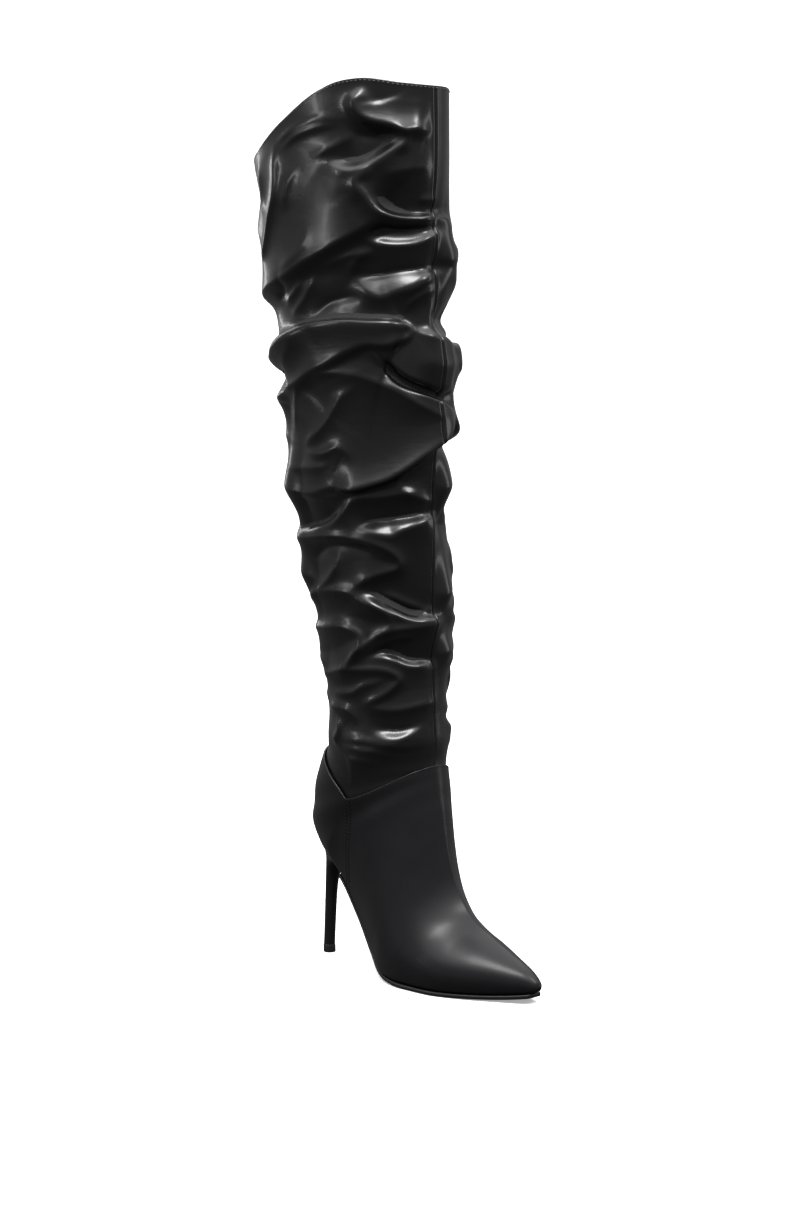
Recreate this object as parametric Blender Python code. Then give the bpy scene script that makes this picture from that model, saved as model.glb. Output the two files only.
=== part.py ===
"""Right slouch boot on a stiletto heel, in metres, +Z up.

The heel's top piece stands on the origin, +X points to the toe and +Y to the
inner (medial) side. The foot upper is lofted through sections of the last. The
shaft starts inside the upper's topline and rises through oval sections, with a
table of slouch folds that stand proud of them.
"""

import functools
import math

import bmesh
import bpy
import numpy as np
from mathutils.bvhtree import BVHTree

MM = 0.001

# Last
TOE_REACH = 222.5 * MM
BALL_WIDTH = 76.0 * MM
SEAT_HEIGHT = 86.5 * MM
INSTEP_HEIGHT = 165.0 * MM

# Foot upper
UPPER_WALL = 1.6 * MM
TOPLINE_FRONT = 162.5 * MM
TOPLINE_SIDE = 134.5 * MM
TOPLINE_BACK = 168.0 * MM
NOTCH_DEG = 97.0
NOTCH_FRONT_CURVE = 1.5
NOTCH_BACK_CURVE = 2.2
LASTING_MARGIN = 8.0 * MM

# Shaft
SHAFT_WALL = 1.4 * MM
SHAFT_HEIGHT = 662.0 * MM
COLLAR_DEPTH = 177.0 * MM
COLLAR_WIDTH = 106.0 * MM
SHAFT_TUCK = 11.0 * MM
FOLD_PROUD = 11.0 * MM
SHAFT_GAP = 0.8 * MM
SETTLE_HEIGHT = 24.0 * MM
COLLAR_CALM = 50.0 * MM
HEM_STEP = 0.7 * MM
HEM_DEPTH = 12.0 * MM
HEM_RAMP = 3.0 * MM

# Bottom unit
SOLE_THICKNESS = 3.0 * MM
SHANK_SOLE_THICKNESS = 2.2 * MM
SOLE_EXTENSION = 0.8 * MM
WAIST_TRIM = 1.5 * MM
SOLE_TOE_SETBACK = 5.5 * MM
INSOLE_THICKNESS = 2.0 * MM
INSOLE_HEEL_SETBACK = 11.0 * MM
INSOLE_TOE_SETBACK = 20.0 * MM
HEEL_BREAST = 33.0 * MM
HEEL_STEM_DEPTH = 9.0 * MM
HEEL_STEM_WIDTH = 8.6 * MM
HEEL_LEAN = 4.5 * MM
HEEL_TAPER = 0.22
HEEL_FLARE = 9.0
HEEL_SEAT_SHARE = 0.96
HEEL_SEAT_RISE = 4.0 * MM
HEEL_SEAT_BACK = 1.0 * MM
HEEL_SEAT_SQUARE = 0.8
HEEL_SEAT_GAP = 0.6 * MM
TOP_LIFT_THICKNESS = 6.0 * MM
TOP_LIFT_LIP = 0.3 * MM
GAP = 0.35 * MM
INSOLE_GAP = 0.6 * MM

BLACK_LEATHER = (0.012, 0.012, 0.013, 1.0)
BLACK_SOLE = (0.010, 0.010, 0.010, 1.0)

# One row for each section of the last, from the toe back to the ankle. A
# section lies on a line from its under point to its over point. The x columns
# are shares of TOE_REACH, under_z of the rise to SEAT_HEIGHT, over_z of
# INSTEP_HEIGHT and the outer and inner half widths of BALL_WIDTH. foot is the
# bottom's share of the half width, widest the height share of the greatest
# width, edge_w and edge_h the shares that the feather edge rounds off, and
# peak how narrow the ridge is: 1 is an ellipse and more is narrower.
LAST_COLUMNS = (
    "under_x", "under_z", "over_x", "over_z", "outer", "inner", "foot", "widest", "edge_w", "edge_h", "peak",
)
LAST_SECTIONS = {
    "toe_tip": (0.997, 0.100, 0.998, 0.076, 0.012, 0.012, 0.80, 0.50, 0.60, 0.80, 1.00),
    "toe_end": (0.984, 0.062, 0.988, 0.104, 0.066, 0.060, 0.80, 0.48, 0.40, 0.55, 1.00),
    "toe": (0.942, 0.040, 0.950, 0.145, 0.150, 0.112, 0.86, 0.42, 0.26, 0.36, 1.10),
    "toe_box": (0.863, 0.018, 0.880, 0.190, 0.282, 0.196, 0.90, 0.36, 0.16, 0.26, 1.20),
    "vamp": (0.769, 0.005, 0.794, 0.244, 0.430, 0.306, 0.92, 0.31, 0.11, 0.20, 1.40),
    "joint": (0.674, 0.000, 0.711, 0.300, 0.530, 0.390, 0.94, 0.28, 0.09, 0.17, 1.70),
    "ball": (0.575, 0.000, 0.650, 0.375, 0.556, 0.425, 0.94, 0.27, 0.08, 0.15, 1.90),
    "tread": (0.485, 0.010, 0.605, 0.480, 0.564, 0.440, 0.93, 0.29, 0.08, 0.13, 1.80),
    "waist": (0.404, 0.045, 0.577, 0.598, 0.548, 0.436, 0.85, 0.33, 0.10, 0.11, 1.50),
    "arch": (0.333, 0.205, 0.561, 0.698, 0.518, 0.430, 0.74, 0.40, 0.13, 0.09, 1.30),
    "shank": (0.252, 0.474, 0.550, 0.786, 0.494, 0.448, 0.65, 0.46, 0.18, 0.08, 1.20),
    "breast": (0.166, 0.770, 0.541, 0.841, 0.486, 0.472, 0.62, 0.52, 0.26, 0.09, 1.14),
    "seat": (0.084, 0.928, 0.535, 0.891, 0.486, 0.486, 0.62, 0.58, 0.42, 0.18, 1.10),
    "heel_end": (0.011, 1.014, 0.530, 0.930, 0.486, 0.500, 0.67, 0.60, 0.76, 0.60, 1.06),
    "counter": (-0.032, 1.210, 0.527, 0.958, 0.524, 0.518, 0.73, 0.58, 0.86, 0.87, 1.04),
    "counter_top": (-0.018, 1.403, 0.525, 0.976, 0.532, 0.528, 0.84, 0.55, 0.90, 0.97, 1.02),
    "ankle": (0.005, 1.631, 0.524, 0.991, 0.544, 0.540, 0.92, 0.53, 0.85, 1.00, 1.00),
    "throat": (0.065, 1.990, 0.522, 1.030, 0.550, 0.546, 0.98, 0.50, 0.85, 1.00, 1.00),
}
FIRST_SECTION = 0.5
INNER_TOE_SECTIONS = (0.9, 1.2)
LOWEST_TUCK_SECTION = 9.0
FIRST_TOPLINE_SECTION = 11.0
TOPLINE_CLEAR_DEG = 22.0

# Shares of TOE_REACH between which the sole thickens from its waist to its
# tread, and between which its edge comes out from the trimmed waist.
SOLE_THICKENS = (0.30, 0.45)
SOLE_WIDENS = (0.40, 0.54)

# One row for each oval of the shaft. rise is the share of the way from the
# throat to the collar's front, front the front line's share of TOE_REACH, and
# depth and width shares of COLLAR_DEPTH and COLLAR_WIDTH.
SHAFT_COLUMNS = ("rise", "front", "depth", "width")
SHAFT_SECTIONS = (
    (0.00, 0.522, 0.578, 0.790),
    (0.08, 0.508, 0.550, 0.735),
    (0.20, 0.502, 0.590, 0.735),
    (0.33, 0.505, 0.680, 0.790),
    (0.50, 0.508, 0.775, 0.850),
    (0.62, 0.510, 0.850, 0.850),
    (0.74, 0.516, 0.935, 0.880),
    (0.86, 0.518, 1.015, 0.980),
    (1.00, 0.512, 0.985, 1.000),
)

# One row for each place round the collar: its angle from the front seam over
# the outer side, and its height as a share of SHAFT_HEIGHT.
COLLAR_COLUMNS = ("angle", "height")
COLLAR_PLACES = (
    (0.0, 1.001), (28.0, 1.004), (54.0, 1.009), (76.0, 0.998), (106.0, 0.961), (132.0, 0.930),
    (180.0, 0.911), (228.0, 0.930), (262.0, 0.966), (300.0, 0.990), (332.0, 0.998), (360.0, 1.001),
)

# One row for each main slouch fold. A fold is the hanging lower edge of a
# slack stretch: the leather swells above that edge and tucks in below it.
# from_deg and to_deg say where it runs round the shaft, 0 at the front seam,
# 90 on the outer side, 180 at the back and 270 on the inner side. from_z,
# mid_z and to_z are the edge's heights, swell and tuck the heights over which
# it fades above and below, all as shares of SHAFT_HEIGHT, and proud is a share
# of FOLD_PROUD.
FOLD_COLUMNS = ("from_deg", "to_deg", "from_z", "mid_z", "to_z", "swell", "tuck", "proud")
FOLDS = {
    "thigh_outer": (-42, 176, 0.852, 0.850, 0.765, 0.100, 0.032, 1.00),
    "thigh_front_roll": (-56, 74, 0.842, 0.829, 0.842, 0.020, 0.030, 0.45),
    "thigh_front_low": (-72, 62, 0.800, 0.784, 0.796, 0.050, 0.040, 0.65),
    "thigh_inner": (166, 312, 0.775, 0.828, 0.845, 0.085, 0.032, 0.90),
    "knee_shelf": (14, 208, 0.735, 0.732, 0.700, 0.020, 0.050, 1.35),
    "knee_flap": (-66, 54, 0.738, 0.672, 0.722, 0.042, 0.028, 1.00),
    "knee_inner": (200, 306, 0.695, 0.735, 0.715, 0.055, 0.030, 1.00),
    "knee_panel": (-66, 200, 0.650, 0.566, 0.572, 0.100, 0.030, 1.05),
    "knee_back_lobe": (104, 236, 0.645, 0.642, 0.648, 0.045, 0.026, 0.75),
    "knee_inner_low": (196, 304, 0.580, 0.622, 0.642, 0.060, 0.030, 0.95),
    "calf_front": (-60, 92, 0.556, 0.548, 0.532, 0.026, 0.022, 0.70),
    "calf_outer": (58, 216, 0.556, 0.505, 0.500, 0.045, 0.022, 0.75),
    "calf_inner": (204, 306, 0.500, 0.535, 0.548, 0.050, 0.024, 0.85),
    "calf_tongue": (26, 218, 0.482, 0.446, 0.452, 0.045, 0.022, 0.80),
    "shin_front": (-60, 82, 0.455, 0.446, 0.458, 0.050, 0.022, 0.90),
    "shin_back": (90, 228, 0.430, 0.396, 0.402, 0.045, 0.022, 0.80),
    "shin_inner": (208, 308, 0.432, 0.464, 0.450, 0.045, 0.022, 0.80),
    "shin_low_front": (-58, 94, 0.388, 0.386, 0.362, 0.026, 0.020, 0.65),
    "low_back": (64, 220, 0.375, 0.338, 0.330, 0.050, 0.020, 0.80),
    "low_inner": (206, 310, 0.348, 0.390, 0.380, 0.045, 0.022, 0.75),
    "low_front": (-58, 88, 0.334, 0.312, 0.306, 0.040, 0.020, 0.60),
    "gaiter_outer": (70, 216, 0.292, 0.282, 0.276, 0.032, 0.018, 0.55),
    "gaiter_inner": (204, 310, 0.288, 0.318, 0.322, 0.035, 0.018, 0.60),
}

# A fold fades out over FOLD_END_DEG at each end. FOLD_HANG is how far it hangs
# as a share of how proud it is, and HANG_REACH the share of its swell that
# hangs. FOLD_HOLLOW is the depth of the hollow under it, and HOLLOW_REACH that
# hollow's length as a share of its tuck.
FOLD_END_DEG = 26.0
FOLD_HANG = 0.30
HANG_REACH = 0.5
FOLD_HOLLOW = 0.42
HOLLOW_REACH = 1.6

# Mesh steps
FOOT_RINGS = 22
ANKLE_RINGS = 10
UNDER_STEPS = 2
EDGE_STEPS = 6
SIDE_STEPS = 2
CROWN_STEPS = 6
SHAFT_RINGS = 52
SHAFT_COLUMN_COUNT = 34
TUCK_RINGS = 2
SOLE_STRIPS = 4
HEEL_RINGS = 11
HEEL_RING_CROWDING = 0.75
HEEL_SIDES = 24
SEAT_RINGS = (0.84, 0.60, 0.30)
STATION_CLEAR = 1.0 * MM
SHARP_DEG = 40.0
LINE_STEPS = 240
SEAT_STEPS = 60
CLEAR_STEPS = 9
TINY = 1e-9


def clear_scene():
    """Removes what the new file holds."""
    for obj in list(bpy.data.objects):
        bpy.data.objects.remove(obj, do_unlink=True)


def catmull_rom(table, at):
    """Smooth values of a table's columns at fractional row numbers."""
    table = np.asarray(table, float)
    at = np.clip(np.asarray(at, float), 0.0, len(table) - 1.0)
    low = np.minimum(at.astype(int), len(table) - 2)
    t = (at - low)[..., None]
    before = table[np.maximum(low - 1, 0)]
    here = table[low]
    after = table[low + 1]
    beyond = table[np.minimum(low + 2, len(table) - 1)]
    slope_here = (after - before) / 2
    slope_after = (beyond - here) / 2
    return (
        here * (2 * t**3 - 3 * t**2 + 1)
        + slope_here * (t**3 - 2 * t**2 + t)
        + after * (3 * t**2 - 2 * t**3)
        + slope_after * (t**3 - t**2)
    )


def smooth_step(value):
    """0 below 0, 1 above 1 and a soft ramp between them."""
    value = np.clip(value, 0.0, 1.0)
    return value * value * (3 - 2 * value)


def last_row(section):
    """The last's section at a fractional row number, its columns in metres."""
    values = catmull_rom(list(LAST_SECTIONS.values()), section)
    row = {name: values[..., i] for i, name in enumerate(LAST_COLUMNS)}
    floor = SOLE_THICKNESS + GAP
    row["under_x"] = row["under_x"] * TOE_REACH
    row["under_z"] = floor + np.maximum(row["under_z"], 0.0) * (SEAT_HEIGHT - floor)
    row["over_x"] = row["over_x"] * TOE_REACH
    row["over_z"] = row["over_z"] * INSTEP_HEIGHT
    row["outer"] = row["outer"] * BALL_WIDTH
    row["inner"] = row["inner"] * BALL_WIDTH
    return row


def half_loop(around):
    """For around from 0 under the foot to 1 over it, the shares that shape a section.

    Returns the flat, corner and crown angles and the side's share of its rise.
    """
    total = UNDER_STEPS + EDGE_STEPS + SIDE_STEPS + CROWN_STEPS
    step = np.asarray(around, float) * total
    flat = np.clip(step / UNDER_STEPS, 0, 1)
    corner = np.clip((step - UNDER_STEPS) / EDGE_STEPS, 0, 1) * math.pi / 2
    side = np.clip((step - UNDER_STEPS - EDGE_STEPS) / SIDE_STEPS, 0, 1)
    crown = np.clip((step - UNDER_STEPS - EDGE_STEPS - SIDE_STEPS) / CROWN_STEPS, 0, 1) * math.pi / 2
    return flat, corner, side, crown


def last_point(section, around, inset=0.0):
    """A point on the last's surface, or inset inside it.

    around runs from -1 through 0 to 1: 0 is under the foot (or at the back of
    the ankle), 1 over it on the outer side and -1 over it on the inner side.
    """
    section, around = np.broadcast_arrays(np.asarray(section, float), np.asarray(around, float))
    row = last_row(section)
    flat, corner, side, crown = half_loop(np.abs(around))
    line_x = row["over_x"] - row["under_x"]
    line_z = row["over_z"] - row["under_z"]
    height = np.hypot(line_x, line_z)
    widest = np.where(around >= 0, row["outer"], row["inner"]) - inset
    foot = widest * row["foot"]
    tall = height - 2 * inset
    low = tall * row["widest"]
    edge_w = foot * row["edge_w"]
    edge_h = low * row["edge_h"]
    up = edge_h * (1 - np.cos(corner)) + side * (low - edge_h) + (tall - low) * np.sin(crown)
    flare = (widest - foot) * np.sin(np.clip(up / np.maximum(low, TINY), 0, 1) * math.pi / 2)
    across = (flat * (foot - edge_w) + edge_w * np.sin(corner) + flare) * np.cos(crown) ** row["peak"]
    share = (up + inset) / np.maximum(height, TINY)
    x = row["under_x"] + line_x * share
    z = row["under_z"] + line_z * share
    return np.stack([x, -np.sign(around) * across, z], -1)


@functools.lru_cache(maxsize=None)
def underside_lines():
    """The flat lines of the upper's underside, from heel to toe, as its facets run."""
    rings = upper_grid(0.0)
    columns = range(-UNDER_STEPS, UNDER_STEPS + 1)
    last = int(np.argmin(rings[:, 0, 0]))
    return [rings[last::-1, column] for column in columns]


def underside(x):
    """Height of the lowest flat line of the upper's underside at x."""
    return np.min([np.interp(x, line[:, 0], line[:, 2]) for line in underside_lines()], axis=0)


def beyond_underside(x, distance):
    """Height at x of a surface square to the underside and a distance above it."""
    slope = (underside(x + STATION_CLEAR) - underside(x - STATION_CLEAR)) / (2 * STATION_CLEAR)
    return underside(x) + distance * np.sqrt(1 + slope**2)


@functools.lru_cache(maxsize=None)
def upper_facets():
    """The upper's outer facets, for measuring straight up to its underside."""
    rings = upper_grid(0.0)
    rows, columns = rings.shape[:2]
    index = np.arange(rows * columns).reshape(rows, columns)
    right = np.roll(index, -1, axis=1)
    quads = np.stack([index[:-1], right[:-1], right[1:], index[1:]], -1).reshape(-1, 4)
    return BVHTree.FromPolygons(rings.reshape(-1, 3).tolist(), quads.tolist())


def seat_height(points):
    """Height of the upper straight above each point, infinite where none is above it."""
    hits = [upper_facets().ray_cast((x, y, -SEAT_HEIGHT), (0, 0, 1))[0] for x, y in points]
    return np.array([hit.z if hit else math.inf for hit in hits])


def seat_half_width(x, side):
    """How far out at x the upper's bottom stays low enough for the heel's seat."""
    reach = foot_half_width(x, side) * (1 if side == "inner" else -1)
    across = np.linspace(0, reach, SEAT_STEPS)
    rise = seat_height([(x, y) for y in across]) - seat_height([(x, 0.0)])
    return abs(across[np.nonzero(rise < HEEL_SEAT_RISE)[0].max()])


def foot_half_width(x, side, inset=0.0, flat_only=False):
    """Half width of the upper's bottom at x, on one side (outer or inner)."""
    rows = np.linspace(FIRST_SECTION, list(LAST_SECTIONS).index("heel_end"), LINE_STEPS)
    row = last_row(rows)
    width = (row[side] - inset) * row["foot"]
    if flat_only:
        width = width * (1 - row["edge_w"])
    return np.interp(x, row["under_x"][::-1], width[::-1])


def angle_round(points):
    """Angle of each point round the ankle, 0 at the front and 90 on the outer side."""
    throat = last_row(len(LAST_SECTIONS) - 1.0)
    centre_x = (throat["under_x"] + throat["over_x"]) / 2
    depth = (throat["over_x"] - throat["under_x"]) / 2
    width = throat["outer"]
    return np.degrees(np.arctan2(-points[..., 1] / width, (points[..., 0] - centre_x) / depth))


def topline(angle):
    """Height of the upper's topline: peaks at the front and back, a notch at each side."""
    turn = np.abs((np.asarray(angle, float) + 180) % 360 - 180)
    to_front = np.clip((NOTCH_DEG - turn) / NOTCH_DEG, 0, 1)
    to_back = np.clip((turn - NOTCH_DEG) / (180 - NOTCH_DEG), 0, 1)
    front = np.sin(to_front * math.pi / 2) ** NOTCH_FRONT_CURVE
    back = 1 - (1 - to_back) ** NOTCH_BACK_CURVE
    return np.where(
        turn < NOTCH_DEG,
        TOPLINE_SIDE + (TOPLINE_FRONT - TOPLINE_SIDE) * front,
        TOPLINE_SIDE + (TOPLINE_BACK - TOPLINE_SIDE) * back,
    )


def topline_section(around):
    """Fractional row number at which the upper reaches its topline."""
    rows = np.linspace(FIRST_TOPLINE_SECTION, len(LAST_SECTIONS) - 1.0, LINE_STEPS)
    found = []
    for place in np.atleast_1d(around):
        points = last_point(rows, np.full_like(rows, place))
        wanted = topline(angle_round(points))
        below = np.nonzero(points[:, 2] < wanted)[0]
        found.append(rows[min(below.max() + 1, len(rows) - 1)] if len(below) else rows[0])
    return np.array(found)


def tube_mesh(rings, closed_start):
    """A mesh from a grid of rings, each a closed loop of points."""
    sides = rings.shape[1]
    mesh = bmesh.new()
    grid = [[mesh.verts.new(point) for point in ring] for ring in rings]
    for lower, upper in zip(grid, grid[1:]):
        for j in range(sides):
            k = (j + 1) % sides
            mesh.faces.new((lower[j], lower[k], upper[k], upper[j]))
    if closed_start:
        mesh.faces.new(list(reversed(grid[0])))
    return mesh, grid


def shell_object(name, outer, inner, collection, material, closed_start):
    """A hollow solid between an outer and an inner grid of rings, open at its last ring."""
    mesh, outside = tube_mesh(outer, closed_start)
    inside = [[mesh.verts.new(point) for point in ring] for ring in inner]
    sides = outer.shape[1]
    for lower, upper in zip(inside, inside[1:]):
        for j in range(sides):
            k = (j + 1) % sides
            mesh.faces.new((lower[j], upper[j], upper[k], lower[k]))
    rims = [(outside[-1], inside[-1])]
    if closed_start:
        mesh.faces.new(inside[0])
    else:
        rims.append((inside[0], outside[0]))
    for first, second in rims:
        for j in range(sides):
            k = (j + 1) % sides
            mesh.faces.new((first[j], first[k], second[k], second[j]))
    return finish_object(name, mesh, collection, material)


def finish_object(name, mesh, collection, material):
    """Makes the bmesh an object with outward faces, smooth shading and a material."""
    bmesh.ops.recalc_face_normals(mesh, faces=mesh.faces)
    data = bpy.data.meshes.new(name)
    mesh.to_mesh(data)
    mesh.free()
    data.shade_smooth()
    data.set_sharp_from_angle(angle=math.radians(SHARP_DEG))
    data.materials.append(material)
    obj = bpy.data.objects.new(name, data)
    collection.objects.link(obj)
    return obj


def make_material(name, colour, roughness):
    """A Principled material of one colour."""
    material = bpy.data.materials.new(name)
    material.use_nodes = True
    shader = material.node_tree.nodes["Principled BSDF"]
    shader.inputs["Base Color"].default_value = colour
    shader.inputs["Roughness"].default_value = roughness
    shader.inputs["Metallic"].default_value = 0.0
    return material


def around_places():
    """The loop's places round a section: under, outer side, over, inner side."""
    half = UNDER_STEPS + EDGE_STEPS + SIDE_STEPS + CROWN_STEPS
    steps = np.arange(1, half) / half
    return np.concatenate([[0.0], steps, [1.0], -steps[::-1]])


def upper_grid(inset):
    """Rings of the foot upper's surface, from the toe to the topline."""
    places = around_places()
    ends = topline_section(places)
    along_foot = np.linspace(FIRST_SECTION, FIRST_TOPLINE_SECTION, FOOT_RINGS)
    if inset > 0:
        along_foot[: len(INNER_TOE_SECTIONS)] = INNER_TOE_SECTIONS
    along_ankle = np.linspace(0, 1, ANKLE_RINGS + 1)[1:, None]
    ankle = FIRST_TOPLINE_SECTION + along_ankle * (ends - FIRST_TOPLINE_SECTION)
    foot = np.repeat(along_foot[:, None], len(places), axis=1)
    return np.array([last_point(sections, places, inset) for sections in np.concatenate([foot, ankle])])


def under_x(section):
    """Where a named section of the last meets its underside."""
    return float(last_row(list(LAST_SECTIONS).index(section))["under_x"])


def opening_cutter(collection):
    """A slab that opens the upper underneath, inside its lasting margin."""
    return plate_object(
        "upper_opening_cutter",
        under_x("heel_end") + LASTING_MARGIN,
        under_x("toe") - LASTING_MARGIN,
        lambda x, side: foot_half_width(x, side) - LASTING_MARGIN,
        lambda x: -UPPER_WALL,
        lambda x: UPPER_WALL + INSOLE_GAP,
        collection,
        None,
    )


def plate_object(name, heel_x, toe_x, half_width, under, over, collection, material):
    """A curved plate under the foot, between two distances from the upper's underside."""
    rings = underside_lines()[UNDER_STEPS][:, 0]
    between = rings[(rings > heel_x + STATION_CLEAR) & (rings < toe_x - STATION_CLEAR)]
    stations = np.concatenate([[heel_x], between, [toe_x]])
    across = np.linspace(-1, 1, SOLE_STRIPS + 1)
    lower = []
    upper = []
    for x in stations:
        y = np.where(across < 0, across * half_width(x, "outer"), across * half_width(x, "inner"))
        lower.append([(x, side, beyond_underside(x, under(x))) for side in y])
        upper.append([(x, side, beyond_underside(x, over(x))) for side in y])
    mesh = bmesh.new()
    low = [[mesh.verts.new(point) for point in row] for row in lower]
    high = [[mesh.verts.new(point) for point in row] for row in upper]
    for i in range(len(stations) - 1):
        for j in range(SOLE_STRIPS):
            mesh.faces.new((low[i][j], low[i][j + 1], low[i + 1][j + 1], low[i + 1][j]))
            mesh.faces.new((high[i][j], high[i + 1][j], high[i + 1][j + 1], high[i][j + 1]))
        for j in (0, SOLE_STRIPS):
            mesh.faces.new((low[i][j], low[i + 1][j], high[i + 1][j], high[i][j]))
    for i in (0, len(stations) - 1):
        for j in range(SOLE_STRIPS):
            mesh.faces.new((low[i][j], high[i][j], high[i][j + 1], low[i][j + 1]))
    return finish_object(name, mesh, collection, material) if material else cutter_object(name, mesh, collection)


def cutter_object(name, mesh, collection):
    """Makes the bmesh a helper that only cuts."""
    bmesh.ops.recalc_face_normals(mesh, faces=mesh.faces)
    data = bpy.data.meshes.new(name)
    mesh.to_mesh(data)
    mesh.free()
    obj = bpy.data.objects.new(name, data)
    obj.display_type = "WIRE"
    obj.hide_render = True
    collection.objects.link(obj)
    return obj


def make_upper(collection, cutters, material):
    """The foot upper: vamp and counter in one hollow form, turned in under the foot."""
    upper = shell_object("upper", upper_grid(0.0), upper_grid(UPPER_WALL), collection, material, True)
    cut = upper.modifiers.new("underside opening", "BOOLEAN")
    cut.operation = "DIFFERENCE"
    cut.object = opening_cutter(cutters)
    return upper


def shaft_base(angle, z):
    """A point on the shaft's plain oval form."""
    rise = np.clip((z - INSTEP_HEIGHT) / (SHAFT_HEIGHT - INSTEP_HEIGHT), 0, 1)
    table = np.array(SHAFT_SECTIONS)
    values = catmull_rom(table, np.interp(rise, table[:, 0], np.arange(len(table))))
    row = {name: values[..., i] for i, name in enumerate(SHAFT_COLUMNS)}
    depth = row["depth"] * COLLAR_DEPTH / 2
    width = row["width"] * COLLAR_WIDTH / 2
    front = row["front"] * TOE_REACH
    turn = np.radians(angle)
    return np.stack([front - depth + depth * np.cos(turn), -width * np.sin(turn), z], -1)


def fold_shift(angle, z):
    """How far the folds push the leather out, and how far they let it hang."""
    out = np.zeros(np.broadcast(angle, z).shape)
    hang = np.zeros_like(out)
    for values in FOLDS.values():
        fold = dict(zip(FOLD_COLUMNS, values))
        span = fold["to_deg"] - fold["from_deg"]
        place = ((angle - fold["from_deg"] + 90) % 360 - 90) / span
        edge = (
            fold["from_z"] * (1 - place) * (1 - 2 * place)
            + fold["mid_z"] * 4 * place * (1 - place)
            + fold["to_z"] * place * (2 * place - 1)
        ) * SHAFT_HEIGHT
        ends = FOLD_END_DEG / span
        strength = smooth_step(place / ends) * smooth_step((1 - place) / ends)
        strength = np.where((place > 0) & (place < 1), strength, 0) * fold["proud"] * FOLD_PROUD
        above = (z - edge) / (fold["swell"] * SHAFT_HEIGHT)
        below = (edge - z) / (fold["tuck"] * SHAFT_HEIGHT)
        swell = (1 - smooth_step(above)) * (above >= 0)
        tuck = (1 - (1 + FOLD_HOLLOW) * smooth_step(below)) * (below > 0) * (below < 1)
        hollow = -FOLD_HOLLOW * (1 - smooth_step((below - 1) / HOLLOW_REACH)) * (below >= 1)
        out += strength * (swell + tuck + hollow)
        hang += strength * FOLD_HANG * np.exp(-((above / HANG_REACH) ** 2))
    return out, hang


def collar_height(angle):
    """Height of the shaft's top edge, scooped at the back."""
    places = np.array(COLLAR_PLACES)
    row_at = np.interp(angle, places[:, 0], np.arange(len(places)))
    return catmull_rom(places, row_at)[..., COLLAR_COLUMNS.index("height")] * SHAFT_HEIGHT


def ankle_columns():
    """The places round the last of the shaft's columns, one for each of their angles."""
    places = np.linspace(-1 + TINY, 1 - TINY, 3 * LINE_STEPS)
    found, sorted_places = sorted_angles(last_point(topline_section(places), places), places)
    return np.interp(column_angles(), found, sorted_places)


def ankle_form(places, z, inset):
    """Points inside the upper at a height, straight up from its throat above that."""
    rows = np.linspace(LOWEST_TUCK_SECTION, len(LAST_SECTIONS) - 1.0, LINE_STEPS)
    points = []
    for place, height in zip(places, z):
        line = last_point(rows, np.full_like(rows, place), inset)
        points.append([np.interp(height, line[:, 2], line[:, axis]) for axis in (0, 1)] + [height])
    return np.array(points)


def column_angles():
    """Angles of the shaft's columns, 0 at the front seam and 90 on the outer side."""
    return np.arange(SHAFT_COLUMN_COUNT) * 360.0 / SHAFT_COLUMN_COUNT


def release_height(angles):
    """Height above which the shaft is free of the upper's topline on both sides of it."""
    around = np.linspace(-TOPLINE_CLEAR_DEG, TOPLINE_CLEAR_DEG, CLEAR_STEPS)
    return np.max([topline(angles + step) for step in around], axis=0)


def shaft_grid(inset):
    """Rings of the shaft's surface: a tuck inside the upper, then the folded height."""
    angles = column_angles()
    places = ankle_columns()
    top_z = collar_height(angles)
    start_z = topline(angles)
    free_z = release_height(angles)
    normal = np.stack([np.cos(np.radians(angles)), -np.sin(np.radians(angles)), np.zeros_like(angles)], -1)
    tucked = start_z - SHAFT_TUCK * np.linspace(1, 0, TUCK_RINGS + 1)[:-1, None]
    open_height = start_z + (top_z - start_z) * np.linspace(0, 1, SHAFT_RINGS - TUCK_RINGS)[:, None]
    rings = []
    for z in np.concatenate([tucked, open_height]):
        near = ankle_form(places, z, UPPER_WALL + SHAFT_GAP + inset)
        out, hang = fold_shift(angles, z)
        settled = smooth_step((z - free_z) / SETTLE_HEIGHT)
        top_free = smooth_step((top_z - z) / COLLAR_CALM)
        hem = smooth_step((z - (top_z - HEM_DEPTH)) / HEM_RAMP) * HEM_STEP if inset == 0 else 0.0
        moved = shaft_base(angles, z) + normal * (out * settled * top_free + hem - inset)[:, None]
        moved[:, 2] -= hang * settled * top_free
        rings.append(near * (1 - settled[:, None]) + moved * settled[:, None])
    return np.array(rings)


def sorted_angles(points, places):
    """Angles from 0 to 360 in rising order with their places round the section."""
    angles = angle_round(points) % 360
    order = np.argsort(angles)
    return angles[order], places[order]


def make_shaft(collection, material):
    """The slouched shaft, one hollow solid from the upper's topline to the collar."""
    return shell_object("shaft", shaft_grid(0.0), shaft_grid(SHAFT_WALL), collection, material, False)


def sole_thickness(x):
    """Full at the tread, thinner along the waist."""
    start, end = SOLE_THICKENS
    share = smooth_step((x / TOE_REACH - start) / (end - start))
    return SHANK_SOLE_THICKNESS + (SOLE_THICKNESS - SHANK_SOLE_THICKNESS) * share


def sole_half_width(x, side):
    """Proud of the upper at the tread, trimmed close along the waist."""
    start, end = SOLE_WIDENS
    share = smooth_step((x / TOE_REACH - start) / (end - start))
    return foot_half_width(x, side) + share * SOLE_EXTENSION - (1 - share) * WAIST_TRIM


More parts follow.
